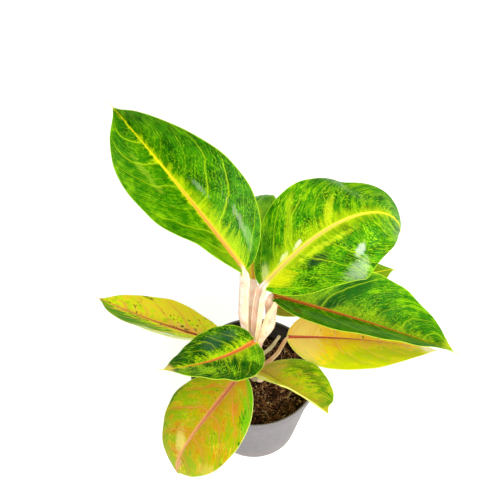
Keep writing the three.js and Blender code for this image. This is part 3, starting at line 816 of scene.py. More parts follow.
def half_width(leaf, s):
    """Half the blade's width in millimetres, from its base to its drip tip."""
    s = np.clip(s, 0, 1)
    widest = leaf["blunt"] / (leaf["blunt"] + TIP_POWER)
    swell = (s / widest) ** leaf["blunt"] * ((1 - s) / (1 - widest)) ** TIP_POWER
    return leaf["width"] / 2 * swell * (1 - DRIP_NARROWING * np.exp(-(((1 - s) / DRIP_TIP) ** 2)))


print("half width in the middle of the front blade:", round(float(half_width(LEAVES["leaf_front"], 0.5)), 1))

# %% [markdown]
# Side veins leave the midrib at a wide angle and swing towards the tip. The blade swells a little
# between them, which gives the real leaf its quilted shine. A vein number that grows by one from each
# side vein to the next serves both the mesh and the shader, so relief and colour always agree.

# %% Leaves: side veins, waves and dents
MARGIN_LAG = 1.3
RUFFLES_ALONG = 5.3
RUFFLE_LAG = 2.1
QUILT = 0.5
FIRST_VEIN = 0.3


def vein_number(leaf, s, across):
    """Grows by one from each side vein to the next, and is whole on a vein."""
    return (s - 0.05 * across - 0.24 * across ** 2.3) * leaf["veins"] + FIRST_VEIN


def relief(leaf, s, v):
    """Height over the plain folded blade: a long wave, a fine ruffle and the quilting."""
    across = np.abs(v)
    inner = np.sin(np.pi * np.clip(s, 0, 1))
    turn = 2 * np.pi * leaf["waves"] * s + math.radians(leaf["phase"]) + np.where(v < 0, MARGIN_LAG, 0)
    wave = leaf["wave"] * across ** 2 * np.sin(turn)
    turn = 2 * np.pi * RUFFLES_ALONG * s + RUFFLE_LAG * np.sign(v) + leaf["phase"]
    ruffle = leaf["ruffle"] * across ** 3 * np.sin(turn)
    quilt = QUILT * (0.5 - np.abs(np.cos(np.pi * vein_number(leaf, s, across))) ** 6)
    quilt = quilt * smooth(across, 0, 0.2) * (1 - smooth(across, 0.8, 1.0))
    return (wave + ruffle + quilt) * inner


def dents(leaf, s, v):
    """How far the leaf's dents push the blade down and inward."""
    down, inward = 0 * s, 0 * s
    for place, aside, reach, reach_aside, deep, narrow in leaf["dents"]:
        dent = np.exp(-(((s - place) / reach) ** 2) - ((v - aside) / reach_aside) ** 2)
        down, inward = down + deep * dent, inward + narrow * dent
    return down, inward


print("side veins on each half of the front leaf:", int(vein_number(LEAVES["leaf_front"], 1.0, 0.0)))

# %% Leaves: blade surface
BLADE_THICKNESS = 0.7
MARGIN_THICKNESS = 0.4
TIP_THINNING = 0.45
DRIP_LENGTH = 0.035
DRIP_RADIUS = 0.3
STALK_SHARE = 0.985
RIB_TAPER = 1.3
RIB_TIP_HALF = 0.4
RIB_TIP_DEEP = 0.2


def blade_middle(leaf, s, v):
    """Middle of the blade's thickness on a grid: s along it, and v across it from -1 to 1."""
    along, left, up = (d[:, None, :] for d in midrib_frame(leaf, s[:, 0]))
    across = np.abs(v)
    stalk = leaf["petiole"] * STALK_SHARE * (1 - smooth(s, 0.0, 0.05))
    half = (half_width(leaf, s) ** 4 + stalk ** 4 + DRIP_RADIUS ** 4) ** 0.25
    fold = math.radians(leaf["fold"]) * smooth(s, 0.0, 0.02)
    curl = math.radians(leaf["curl"])
    down, inward = dents(leaf, s, v)
    side = half * (np.sin(fold) - np.sin(fold - curl * across)) / curl - inward
    lift = half * (np.cos(fold - curl * across) - np.cos(fold)) / curl - down
    height = lift + relief(leaf, s, v)
    back = leaf["lobe"] * across ** 1.5 * np.clip(1 - s, 0, 1) ** 5
    middle = midrib_points(leaf, s[:, 0])[:, None, :] - along * back[..., None]
    return middle + left * (np.sign(v) * side)[..., None] + up * height[..., None], half


def blade_rings(leaf, s, v):
    """Upper and lower points of the blade, with the rib below and a shallow groove above it."""
    middle, half = blade_middle(leaf, s, v)
    up = midrib_frame(leaf, s[:, 0])[2][:, None, :]
    normal = np.cross(np.gradient(middle, axis=0), np.gradient(middle, axis=1))
    normal = unit(normal + 1e-12 * up)
    narrow = (1 - smooth(half, 1.0, 4.0))[..., None]
    normal = unit(normal * (1 - narrow) + up * narrow)
    to_tip = np.clip(1 - s, 0, 1)
    rib_half = RIB_TIP_HALF + (leaf["petiole"] - RIB_TIP_HALF) * to_tip ** RIB_TAPER
    rib_deep = RIB_TIP_DEEP + (leaf["petiole"] - RIB_TIP_DEEP) * to_tip ** (2 * RIB_TAPER)
    offset = np.abs(v) * half
    round_rib = np.sqrt(np.clip(1 - (offset / rib_half) ** 2, 0, 1))
    stalk = 1 - smooth(s, 0.0, 0.035)
    thick = MARGIN_THICKNESS + (BLADE_THICKNESS - MARGIN_THICKNESS) * (1 - np.abs(v) ** 3)
    thick = thick * smooth(s, 0.0, 0.02) * (TIP_THINNING + (1 - TIP_THINNING) * smooth(1 - s, 0.0, 0.05))
    groove = (0.25 * leaf["petiole"] * stalk + 0.25) * np.exp(-((offset / (0.3 * rib_half + 0.15)) ** 2))
    groove = groove * smooth(half, 0.5, 4.0)
    top = thick / 2 + 0.7 * leaf["petiole"] * stalk * round_rib - groove
    upper = middle + normal * top[..., None]
    lower = middle - normal * (thick / 2)[..., None] - up * (rib_deep * round_rib)[..., None]
    return upper, lower, half, offset / rib_half


print("blade thickness:", BLADE_THICKNESS, "at the midrib and", MARGIN_THICKNESS, "at the margin")

# %% [markdown]
# Below the blade the leaf is a stalk with a groove in its face, and at the stem the stalk opens into
# a sheath that wraps round the cane. Both are the packed model's rings with more points, and here the
# sheath's edges stand up as thin wings. Sheath, stalk and blade grow as one, so they stay one mesh.

# %% Leaves: stalk's course
CANE_HEIGHT = 42.0
CANE_TOP_RADIUS = 4.3
SHEATH_SEAT = 0.4
SHEATH_THICKNESS = 3.3
STALK_BEND = 6.5
BEND_SHARE = 0.3
RISE_SHARE = 0.45
RISE_OUTWARD = 1.15


def cane_axis(height):
    return CANE_FOOT + CANE_LEAN * height


def cane_radius(height):
    return CANE_FOOT_RADIUS + (CANE_TOP_RADIUS - CANE_FOOT_RADIUS) * float(smooth(height, 0, CANE_HEIGHT))


def bearing(angle):
    return np.stack([np.cos(angle), np.sin(angle), 0 * np.asarray(angle, float)], -1)


def stalk_corners(leaf):
    """The four control points of the stalk's centre line."""
    start = cane_axis(leaf["node"])
    end = CANE_FOOT + leaf["base"]
    reach = np.linalg.norm(end - start)
    rise = start + (end - start) * RISE_SHARE
    if leaf["clasp"] is not None:
        outward = bearing(math.radians(leaf["clasp"]))
        seat = cane_radius(leaf["node"]) + SHEATH_SEAT + SHEATH_THICKNESS / 2
        start = start + outward * seat
        rise = rise + outward * seat * RISE_OUTWARD
    arrive = end - midrib_direction(leaf, 0.0) * min(STALK_BEND, BEND_SHARE * reach)
    return start, rise, arrive, end


print("cane radius half way up:", round(cane_radius(CANE_HEIGHT / 2), 2))


# %% Leaves: stalk and sheath
SHEATH_EDGE = 0.8
SHEATH_DEPTH = 0.85
STALK_ARC = math.radians(80)
WING_WALL = 0.9


def stalk_ring(leaf, q, turn):
    """Upper and lower points of one ring, from the sheath (q = 0) to the blade (q = 1)."""
    start, rise, arrive, end = stalk_corners(leaf)
    p = 1 - q
    centre = p ** 3 * start + 3 * p * p * q * rise + 3 * p * q * q * arrive + q ** 3 * end
    along = unit(p * p * (rise - start) + 2 * p * q * (arrive - rise) + q * q * (end - arrive))
    on_top = leaf["clasp"] is None
    clasp = math.radians(leaf["clasp"] or 0)
    up = midrib_frame(leaf, np.zeros(1))[2][0]
    inward = up if on_top else -bearing(clasp)
    turned_up = float(smooth(q, 0.1, 1))
    face = inward * (1 - turned_up) + up * turned_up
    face = unit(face - along * face.dot(along))
    left = np.cross(face, along)
    free = 1.0 if on_top else float(smooth(q, 0.04, 0.4))
    height = centre[2] - CANE_FOOT[2]
    slim = float(smooth(q, 0.3, 1))
    stout = 1 + (leaf["stout"] - 1) * float(smooth(q, 0.1, 0.4) * (1 - smooth(q, 0.85, 1)))
    wide = (leaf["sheath"] * (1 - slim) + leaf["petiole"] * slim) * stout
    deep = (leaf["sheath"] * SHEATH_DEPTH * (1 - slim) + leaf["petiole"] * slim) * stout
    angle = STALK_ARC * turn[:, None]
    groove = 0.25 * deep * np.exp(-((turn[:, None] / 0.3) ** 2))
    wing = leaf["wing"] * float(smooth(q, 0.03, 0.22) * (1 - smooth(q, 0.75, 1.0)))
    edge = smooth(np.abs(turn), 0.5, 1.0)[:, None]
    pinch = min(WING_WALL, 0.25 * wing) * edge * np.sign(turn)[:, None]
    above = 0.7 * deep * np.cos(angle) - groove + wing * edge
    below = deep * np.cos(angle) - wing * edge
    top = centre + left * (wide * np.sin(angle) - pinch) + face * above
    bottom = centre + left * wide * np.sin(angle) - face * below
    outward = bearing(clasp + math.radians(leaf["spread"]) * turn)
    inner = cane_radius(height) + SHEATH_SEAT
    thick = SHEATH_EDGE + (SHEATH_THICKNESS - SHEATH_EDGE) * np.cos(np.pi / 2 * turn)
    inside = cane_axis(height) + outward * inner
    outside = cane_axis(height) + outward * (inner + thick)[:, None]
    return inside + (top - inside) * free, outside + (bottom - outside) * free


half_way = stalk_ring(LEAVES["leaf_right"], 0.5, np.linspace(-1, 1, 9))[1]
print("right leaf's stalk, width half way:", round(math.dist(half_way[0], half_way[-1]), 1))

# %% [markdown]
# One function skins a leaf: stalk rings first, then blade rings, each an upper row and a lower row of
# points. Near the base the points gather where the round stalk needs them, and further out they
# spread evenly over the blade. The shader reads a point's place from three stored values: how far
# along and across the blade it lies and on which face, its vein number with its place across and off
# the midrib, and its millimetres along, across and from the margin.

# %% Leaves: faces and their flat places
CAP_BAND = 0.01


def leaf_faces(rows, across_count):
    """Faces of a leaf's two sides, of both edges that join them and of its two ends."""
    low = rows * across_count
    at = np.arange(low).reshape(rows, across_count).tolist()
    faces = []
    for row, after in zip(at, at[1:]):
        for j in range(across_count - 1):
            faces.append((row[j], after[j], after[j + 1], row[j + 1]))
            faces.append((low + row[j], low + row[j + 1], low + after[j + 1], low + after[j]))
        for j, flip in ((0, False), (across_count - 1, True)):
            strip = (row[j], low + row[j], low + after[j], after[j])
            faces.append(strip[::-1] if flip else strip)
    first, last = at[0], at[-1]
    faces.append(tuple([low + j for j in reversed(first)] + first))
    faces.append(tuple(last[::-1] + [low + j for j in last]))
    return faces


def unrolled(faces, row_place, across_count):
    """A flat place for each corner: the leaf's skin slit along one margin and rolled out to a sheet."""
    rows = len(row_place)
    corners = []
    for face in faces:
        if len(face) > 4:
            band = CAP_BAND / 2 if 0 in face else 1 - CAP_BAND / 2
            for k in range(len(face)):
                turn = 2 * math.pi * k / len(face)
                corners.append((0.5 + 0.4 * math.cos(turn), band + 0.4 * CAP_BAND * math.sin(turn)))
            continue
        slit = all(index % across_count == 0 for index in face)
        for index in face:
            under, place = divmod(index, rows * across_count)
            row, column = divmod(place, across_count)
            around = 2 * across_count - 1 - column if under else column
            if slit and not under:
                around = 2 * across_count
            along = CAP_BAND + (1 - 2 * CAP_BAND) * row_place[row]
            corners.append((around / (2 * across_count), along))
    return corners


print("faces of a leaf of three rows of five points:", len(leaf_faces(3, 5)))


# %% Leaves: one mesh each
POINT_SPACING = 1.15
WIDER_ACROSS = 1.1
LEAST_ACROSS = 12
LEAST_ALONG = 40
STALK_STEPS = 30
EVEN_SHARE = 0.12
SPREAD = 1.15


def leaf_grid(leaf):
    """Places along and across the blade for its rows of points, and each row's own turns."""
    across_count = 2 * max(LEAST_ACROSS, int(leaf["width"] / 2 / POINT_SPACING / WIDER_ACROSS)) + 1
    along_count = max(LEAST_ALONG, int(leaf["length"] / POINT_SPACING))
    turn = np.linspace(-1, 1, across_count)
    steps = np.linspace(0, 1, along_count)
    eased = EVEN_SHARE * steps + (1 - EVEN_SHARE) * (3 * steps ** 2 - 2 * steps ** 3)
    s_row = np.concatenate([eased, [1 + DRIP_LENGTH]])
    round_map = np.sin(STALK_ARC * turn) / math.sin(STALK_ARC)
    flat_map = np.sign(turn) * np.abs(turn) ** SPREAD
    settle = smooth(s_row, 0.0, 0.06)[:, None]
    s = np.repeat(s_row[:, None], across_count, axis=1)
    v = round_map * (1 - settle) + flat_map * settle
    return s, v, turn


def leaf_mesh(leaf):
    """Points, faces, stored values and flat places of a leaf."""
    s, v, turn = leaf_grid(leaf)
    across_count = len(turn)
    upper, lower, half, on_rib = blade_rings(leaf, s, v)
    stalk_q = np.sin(np.pi / 2 * np.linspace(0, 1, STALK_STEPS))[:-1]
    stalk = [stalk_ring(leaf, q, turn) for q in stalk_q]
    upper = np.concatenate([np.array([ring[0] for ring in stalk]), upper])
    lower = np.concatenate([np.array([ring[1] for ring in stalk]), lower])
    corners = stalk_corners(leaf)
    reach = np.linalg.norm(corners[3] - corners[0])
    s_stalk = np.repeat((stalk_q - 1)[:, None] * reach / leaf["length"], across_count, axis=1)
    s_all = np.vstack([s_stalk, s])
    v_all = np.vstack([np.repeat(turn[None, :], len(stalk), axis=0), v])
    half_all = np.vstack([np.full(s_stalk.shape, leaf["petiole"]), half])
    rib_all = np.vstack([np.zeros(s_stalk.shape), on_rib])
    across = np.abs(v_all)
    stored = {
        "vein_place": (vein_number(leaf, s_all, across), across, rib_all),
        "skin_place": (s_all * leaf["length"], v_all * half_all, half_all * (1 - across)),
    }
    values = {label: np.tile(np.stack(three, -1).reshape(-1, 3), (2, 1)) for label, three in stored.items()}
    sides = [np.stack([s_all, v_all, np.full(s_all.shape, under)], -1) for under in (0, 1)]
    values["leaf_place"] = np.vstack([side.reshape(-1, 3) for side in sides])
    faces = leaf_faces(len(upper), across_count)
    way = np.linalg.norm(np.diff(upper[:, across_count // 2], axis=0), axis=-1)
    row_place = np.concatenate([[0.0], np.cumsum(way)]) / way.sum()
    points = np.vstack([upper.reshape(-1, 3), lower.reshape(-1, 3)])
    return points, faces, values, unrolled(faces, row_place, across_count)


print("front leaf's blade, rows and points across:", leaf_grid(LEAVES["leaf_front"])[0].shape)

# %% [markdown]
# The cane is the stem that all the leaves grow from. Each fallen leaf left a ring round it, so its
# radius follows a wave with a sharp lip at every ring. A plain cylinder would read as a peg. Beside it
# stands the dry end of an old stalk, which is a stalk like the others, with a torn, hollow top.

# %% Cane: shape
CANE_DEPTH = 22.0
CANE_STEP = 0.5
CANE_TURNS = 64
CANE_UNEVEN = 0.12
CROWN_HEIGHT = 1.5
SCAR_SPACING = 7.0
SCAR_RELIEF = 0.25
SCAR_LIP = 0.35
SCAR_LIP_REACH = 0.5
FIRST_SCAR = 2.0


def scar_relief(height):
    """How far the cane's skin stands out at a height above the mix, for its leaf scars and its crown."""
    phase = height / SCAR_SPACING
    wave = SCAR_RELIEF * (math.cos(2 * math.pi * phase) - 1) if height > 0 else 0.0
    from_scar = (phase - round(phase)) * SCAR_SPACING / SCAR_LIP_REACH
    lip = SCAR_LIP * math.exp(-(from_scar ** 2)) if height > FIRST_SCAR else 0.0
    crown = max(0.0, (height - CANE_HEIGHT) / CROWN_HEIGHT + 1) ** 2
    return wave + lip - crown


cane_rings = []
for height in np.arange(-CANE_DEPTH, CANE_HEIGHT + CANE_STEP, CANE_STEP):
    ring = []
    for turn in 2 * np.pi * np.arange(CANE_TURNS) / CANE_TURNS:
        place = Vector((math.cos(turn) * 2, math.sin(turn) * 2, height * 0.25))
        radius = cane_radius(height) + scar_relief(height) + CANE_UNEVEN * noise.noise(place)
        ring.append(cane_axis(height) + bearing(turn) * radius)
    cane_rings.append(np.array(ring))
cane_points, cane_faces = skinned(cane_rings, np.mean(cane_rings[0], axis=0), np.mean(cane_rings[-1], axis=0))
print("cane rings:", len(cane_rings))

# %% Old stalk: shape
STUB = dict(
    base=(21, 15, 45), length=1, heading=30, sweep=0, pitch=52, droop=0, late=1, roll=0, twist=0,
    clasp=48, node=17, spread=20, sheath=1.9, petiole=1.45, wing=0.0, stout=1.0)
STUB_STEPS = 26
STUB_TURNS = 15
STUB_TEAR = 2.2
STUB_HOLLOW = 2.0

stub_rings = []
for q in np.linspace(0, 1, STUB_STEPS):
    upper, lower = stalk_ring(STUB, q, np.linspace(-1, 1, STUB_TURNS))
    stub_rings.append(np.vstack([upper, lower[::-1]]))
stub_way = midrib_direction(STUB, 0.0)
torn = np.array([[0.5 + 0.5 * math.sin(2.3 * i) * math.cos(0.9 * i + 1.0)] for i in range(2 * STUB_TURNS)])
stub_end = stub_rings[-1]
stub_hub = stub_end.mean(axis=0)
stub_rings.append(stub_end + stub_way * STUB_TEAR * torn)
stub_rings.append(stub_hub + (stub_end - stub_hub) * 0.6 + stub_way * STUB_TEAR * 0.6 * torn)
stub_rings.append(stub_hub + (stub_end - stub_hub) * 0.45 - stub_way * STUB_HOLLOW)
stub_points, stub_faces = skinned(stub_rings, np.mean(stub_rings[0], axis=0), np.mean(stub_rings[-1], axis=0))
print("stub rings:", len(stub_rings))

# %% [markdown]
# The cane's skin is pale green going to tan at the foot, with a dark line at each ring and fine cork
# specks. The old stalk is dry: straw-coloured, with fibres that run up it.

# %% Cane and old stalk: finishes and pieces
cane_skin, w, shader = material("ringed cane skin")
skin = w.use(grain, Size_in_mm=0.9, Stretch=1.0)
height = w.math("MULTIPLY_ADD", w.split(w.object_place())[2], 1 / MM, -SOIL_LEVEL)
to_scar = w.math("PINGPONG", w.math("DIVIDE", height, SCAR_SPACING), 0.5)
base = w.blend(w.ramp(height, 30.0, -4.0), colour("dfe0b4"), colour("c2a27a"))
base = w.blend(w.ramp(skin["Shade"], 0.4, 0.65), base, colour("b9bd84"))
base = w.glaze(base, colour("7d5c3c"), w.ramp(to_scar, 0.12, 0.03), 0.7)
base = w.blend(w.ramp(skin["Height"], 0.66, 0.74), base, colour("8a6a48"))
dress(w, shader, base, skin["Height"], rough=0.45, varied=0.25, relief=0.35, depth=0.0004)

dry_stalk, w, shader = material("dry straw stalk")
fibres = w.use(grain, Size_in_mm=0.5, Stretch=9.0)
base = w.blend(w.ramp(fibres["Height"], 0.35, 0.65), colour("b8a878"), colour("f0e4bc"))
base = w.blend(w.ramp(fibres["Shade"], 0.5, 0.72), base, colour("a09062"))
dress(w, shader, base, fibres["Height"], rough=0.6, varied=0.2, relief=0.6, depth=0.0004)

cane = piece("cane_with_leaf_scars", cane_points, cane_faces, [cane_skin])
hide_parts("cane")
stub = piece("dry_stalk_stub", stub_points, stub_faces, [dry_stalk], crease=40)
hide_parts("old_petiole_stub")

# %% [markdown]
# The leaf's colours are built in layers, as a painter would glaze them: a ground of three tones,
# streaks and flecks that follow the side veins, a feathered glow beside the midrib, single patches,
# some of them painted highlights and sheen, the veins, the midrib and the pale margin. Each layer is a
# mask, and the larger ones are node groups.
# A photograph pasted on the leaf would carry its light and its view with it, so none is used.

# %% Leaf group: veins
FINE_VEINS = 6.0
SOFT_VEIN_WIDTH = 4.0

veins, w, taken, given = group(
    "leaf veins", {"Width": 0.05, "Uneven": 0.6, "Floor": 0.2, "Seed": 0.0}, ["Main", "Soft", "Fine"])
number, across, _ = w.read("vein_place")
along, aside, _ = w.read("skin_place")
on_skin = w.join(along, aside, taken["Seed"])
number = w.math("MULTIPLY_ADD", w.drift(on_skin, 0.04), taken["Uneven"], number)
side = w.math("MULTIPLY_ADD", w.math("SIGN", aside), 3.1, taken["Seed"])
each_vein = w.join(w.math("MULTIPLY", w.math("ROUND", number), 1.7), side)
strength = w.math("MAXIMUM", w.ramp(w.noise(each_vein, 1.0, 0.0), 0.32, 0.58), taken["Floor"])
strength = w.math("MULTIPLY", strength, w.ramp(across, 1.05, 0.75))
to_vein = w.math("PINGPONG", number, 0.5)
taper = w.math("MULTIPLY", taken["Width"], w.math("MULTIPLY_ADD", across, -0.55, 1.15))
w.feed(given["Main"], w.math("MULTIPLY", w.ramp(to_vein, taper, 0.0), strength))
soft = w.ramp(to_vein, w.math("MULTIPLY", taper, SOFT_VEIN_WIDTH), 0.0)
w.feed(given["Soft"], w.math("MULTIPLY", soft, strength))
to_fine_vein = w.math("PINGPONG", w.math("MULTIPLY", number, FINE_VEINS), 0.5)
broken = w.ramp(w.noise(on_skin, 0.12), 0.4, 0.65)
shown = w.math("MULTIPLY", w.ramp(across, 0.02, 0.25), broken)
w.feed(given["Fine"], w.math("MULTIPLY", w.ramp(to_fine_vein, 0.25, 0.0), shown))

# %% Leaf group: flecks and streaks that follow the side veins
FLECKS_PER_VEIN = 24.0
STREAKS_PER_VEIN = 4.5

flecks, w, taken, given = group(
    "leaf flecks", {"Amount": 0.5, "Length": 3.0, "Size": 1.0, "Clusters": 0.5, "Seed": 0.0},
    ["Mask", "Streak"])
number, _, _ = w.read("vein_place")
along, aside, _ = w.read("skin_place")
layer = w.math("MULTIPLY_ADD", w.math("SIGN", aside), 4.3, taken["Seed"])
run = w.math("DIVIDE", w.math("ABSOLUTE", aside), taken["Length"])
count = w.math("DIVIDE", FLECKS_PER_VEIN, taken["Size"])
place = w.join(w.math("MULTIPLY", number, count), w.math("DIVIDE", run, taken["Size"]), layer)
spots = w.noise(place, 1.0, 1.5, 0.6)
patchy = w.drift(w.join(along, aside, layer), 0.06)
level = w.math("MULTIPLY_ADD", taken["Amount"], -0.34, 0.80)
level = w.math("SUBTRACT", level, w.math("MULTIPLY", patchy, taken["Clusters"]))
w.feed(given["Mask"], w.ramp(w.math("SUBTRACT", spots, level), 0.0, 0.06))
place = w.join(w.math("MULTIPLY", number, STREAKS_PER_VEIN), w.math("MULTIPLY", run, 0.22), layer)
w.feed(given["Streak"], w.noise(place, 1.0, 3.0, 0.6))

# %% Leaf group: glow beside the midrib
glow, w, taken, given = group(
    "midrib glow", {"Base": 0.5, "Tip": 0.1, "Feather": 0.5, "Side": 0.0, "Seed": 0.0}, ["Mask"])
number, across, _ = w.read("vein_place")
s, v, _ = w.read("leaf_place")
side = w.math("SIGN", v)
fade = w.math("POWER", w.math("MAXIMUM", w.math("SUBTRACT", 1.0, s), 0.0), 1.8)
width = w.math("MULTIPLY_ADD", fade, w.math("SUBTRACT", taken["Base"], taken["Tip"]), taken["Tip"])
width = w.math("MULTIPLY", width, w.math("MULTIPLY_ADD", side, taken["Side"], 1.0))
layer = w.math("MULTIPLY_ADD", side, 2.7, taken["Seed"])
place = w.join(w.math("MULTIPLY", number, 4.0), w.math("MULTIPLY", across, 2.5), layer)
ragged = w.drift(place, 1.0, 4.0, 0.65)
distance = w.math("SUBTRACT", across, w.math("MULTIPLY", ragged, taken["Feather"]))
w.feed(given["Mask"], w.ramp(distance, w.math("MULTIPLY", width, 2.0), w.math("MULTIPLY", width, -0.2)))

# %% Leaf group: a patch at one place
patch, w, taken, given = group(
    "leaf patch",
    {"Along": 0.5, "Across": 0.0, "Reach along": 0.1, "Reach across": 0.2, "Slant": 0.0, "Ragged": 0.3},
    ["Mask"])
s, v, under = w.read("leaf_place")
number, _, _ = w.read("vein_place")
aside = w.math("SUBTRACT", v, taken["Across"])
along = w.math("SUBTRACT", w.math("SUBTRACT", s, taken["Along"]), w.math("MULTIPLY", aside, taken["Slant"]))
x = w.math("DIVIDE", along, taken["Reach along"])
y = w.math("DIVIDE", aside, taken["Reach across"])
far = w.math("SQRT", w.math("ADD", w.math("MULTIPLY", x, x), w.math("MULTIPLY", y, y)))
place = w.join(w.math("MULTIPLY", number, 7.0), w.math("MULTIPLY", v, 3.0), 0.0)
ragged = w.math("MULTIPLY", w.drift(place, 1.0, 3.0), taken["Ragged"])
far = w.math("MULTIPLY_ADD", ragged, 4.0, far)
w.feed(given["Mask"], w.math("MULTIPLY", w.ramp(far, 1.45, 0.6), w.math("SUBTRACT", 1.0, under)))

# %% [markdown]
# A few functions wire the layers into a material. Each leaf gives them its own colours and amounts,
# because on the real plant no two leaves have the same share of green, gold and red. The depth of the
# ground is a sum: clouds, blotches, streaks, the edge, the tip and one side each add their part. The
# side's part is partly painted shade: one half of a blade darker and the other lighter, for how light falls
# on the folded leaf.

# %% Leaf finish: ground, flecks, glow and patches
INK_SEED = 50
BLOTCH_SEED = 9


def fleck_layer(w, looks, kind, amount, seed):
    """One layer of flecks, with the looks whose names start with its kind."""
    return w.use(
        flecks, Amount=amount, Length=looks[kind + "_length"], Size=looks[kind + "_size"],
        Clusters=looks[kind + "_clusters"], Seed=seed)


def leaf_ground(w, looks, seed):
    """The blade's colour before its veins: three tones by depth, pale flecks, glow, patches, ink."""
    s, v, _ = w.read("leaf_place")
    across = w.read("vein_place")[1]
    along, aside, _ = w.read("skin_place")
    pale = fleck_layer(w, looks, "fleck", looks["flecks"], seed)
    dark = fleck_layer(w, looks, "ink", looks["ink"], seed + INK_SEED)
    beside = w.use(
        glow, Base=looks["glow_base"], Tip=looks["glow_tip"], Feather=looks["feather"],
        Side=looks["glow_side"], Seed=seed)
    darkens = {
        "by_cloud": w.drift(w.join(along, aside, seed), 0.035),
        "by_blotch": w.drift(w.join(along, aside, seed + BLOTCH_SEED), 0.15, 3.0, 0.65),
        "by_streak": w.math("SUBTRACT", pale["Streak"], 0.5),
        "by_edge": w.math("MULTIPLY", across, across),
        "by_tip": s,
        # One half of the blade darker than the other: partly painted shade, for how light falls on the folded
        # leaf
        "by_side_with_painted_shade": v,
    }
    depth = looks["deep_at"]
    for reason, value in darkens.items():
        depth = w.math("MULTIPLY_ADD", value, looks[reason], depth)
    base = w.blend(w.ramp(depth, 0.15, 0.5), looks["light"], looks["mid"])
    base = w.blend(w.ramp(depth, 0.5, 0.85), base, looks["deep"])
    base = w.glaze(base, looks["fleck"], pale["Mask"], looks["fleck_show"])
    base = w.glaze(base, looks["halo"], beside["Mask"], looks["glow"])
    # Patches: the leaf's own colour marks and, on a few leaves, painted highlights and sheen
    for tone, place, aside, reach, reach_aside, slant, ragged, amount in looks["patches"]:
        spot = w.use(
            patch, Along=place, Across=aside, Reach_along=reach, Reach_across=reach_aside,
            Slant=slant, Ragged=ragged)
        base = w.glaze(base, colour(tone), spot["Mask"], amount)
    return w.glaze(base, looks["ink_colour"], dark["Mask"], looks["ink_show"])


print("the ground uses the groups", flecks.name, "and", glow.name, "and", patch.name)


# %% Leaf finish: midrib and stalk
def midrib_stripe(w, looks, s, on_rib):
    """The midrib's colour, stronger at its core and near its base, and its mask."""
    older = w.ramp(s, looks["rib_turn"] + 0.25, looks["rib_turn"] - 0.25)
    stripe = w.blend(older, looks["rib_tip"], looks["rib_base"])
    core = w.math("MULTIPLY", w.ramp(on_rib, looks["rib_width"] * 0.75, 0.1), older)
    stripe = w.glaze(stripe, looks["rib_core"], core, looks["rib_core_show"])
    edge = looks["rib_width"] * looks["rib_soft"]
    return stripe, w.ramp(on_rib, looks["rib_width"] + edge, looks["rib_width"] - edge)


def stalk_colour(w, looks, seed, cells):
    """The pale stalk: two tones, faint lines along it, greener edges and a few brown specks on them."""
    v = w.read("leaf_place")[1]
    across = w.read("vein_place")[1]
    along = w.read("skin_place")[0]
    base = w.blend(w.ramp(cells["Shade"], 0.35, 0.65), looks["stalk"], looks["stalk_shade"])
    lines = w.noise(w.join(w.math("MULTIPLY", along, 0.05), w.math("MULTIPLY", v, 7.0), seed), 1.0)
    base = w.glaze(base, looks["stalk_line"], w.ramp(lines, 0.5, 0.7), 0.5)
    base = w.glaze(base, looks["wing"], w.ramp(across, 0.7, 0.95), looks["wing_show"])
    specks = w.noise(w.join(w.math("MULTIPLY", along, 0.35), w.math("MULTIPLY", v, 6.0), seed), 1.0, 1.0)
    return w.glaze(base, looks["speck"], w.ramp(specks, 0.68, 0.74), w.ramp(across, 0.5, 0.8))


print("midrib and stalk are laid over the ground")


# %% Leaf finish: all layers
LEAF_SHINE = 0.05
LEAF_GLOW_THROUGH = 0.06
LEAF_GLOW_COLOURS = (0.8, 1.0, 0.1)
LEAF_GLOW_DEPTH = 0.0015


def leaf_finish(name, looks, seed):
    """The material of one leaf. Looks holds its colours, its amounts and its single patches."""
    made, w, shader = material(name + " skin")
    s, _, under = w.read("leaf_place")
    on_rib = w.read("vein_place")[2]
    along, aside, to_margin = w.read("skin_place")
    net = w.use(
        veins, Width=looks["vein_width"], Uneven=looks["uneven"], Floor=looks["vein_floor"], Seed=seed)
    cells = w.use(grain, Size_in_mm=0.8, Stretch=1.0)
    ragged = w.drift(w.join(along, aside, seed), 0.7)
    on_rib = w.math("MULTIPLY_ADD", ragged, looks["rib_ragged"], on_rib)

    base = leaf_ground(w, looks, seed)
    base = w.glaze(base, looks["vein"], net["Fine"], looks["fine"])
    base = w.glaze(base, looks["halo"], net["Soft"], looks["soft"])
    base = w.glaze(base, looks["vein"], net["Main"], looks["main"])
    stripe, rib_mask = midrib_stripe(w, looks, s, on_rib)
    base = w.glaze(base, stripe, rib_mask, looks["rib_show"])
    base = w.glaze(base, looks["margin"], w.ramp(to_margin, 0.9, 0.3), looks["edge"])
    pale = w.blend(w.math("MULTIPLY_ADD", net["Main"], -0.2, 0.6), base, looks["under"])
    base = w.blend(under, base, pale)

    joint = w.ramp(s, looks["blade_from"] + looks["stalk_in"], looks["blade_from"])
    joint = w.math("MULTIPLY", joint, w.ramp(on_rib, 1.1, 0.8))
    on_stalk = w.ramp(s, looks["blade_from"] + 0.003, looks["blade_from"] - 0.008)
    base = w.blend(w.math("MAXIMUM", on_stalk, joint), base, stalk_colour(w, looks, seed, cells))
    w.feed(shader["Base Color"], base)

    height = w.math("MULTIPLY_ADD", net["Main"], -0.5, w.math("MULTIPLY", net["Fine"], -0.15))
    height = w.math("MULTIPLY_ADD", cells["Height"], 0.3, height)
    w.feed(shader["Normal"], w.bump(height, 0.3, 0.0006))
    gloss = w.math("MULTIPLY_ADD", cells["Shade"], 0.2, looks["rough"])
    w.feed(shader["Roughness"], w.math("MULTIPLY_ADD", under, 0.2, gloss))
    shader["Specular IOR Level"].default_value = LEAF_SHINE
    shader["Subsurface Weight"].default_value = LEAF_GLOW_THROUGH
    shader["Subsurface Radius"].default_value = LEAF_GLOW_COLOURS
    shader["Subsurface Scale"].default_value = LEAF_GLOW_DEPTH
    return made


print("leaf shine:", LEAF_SHINE)
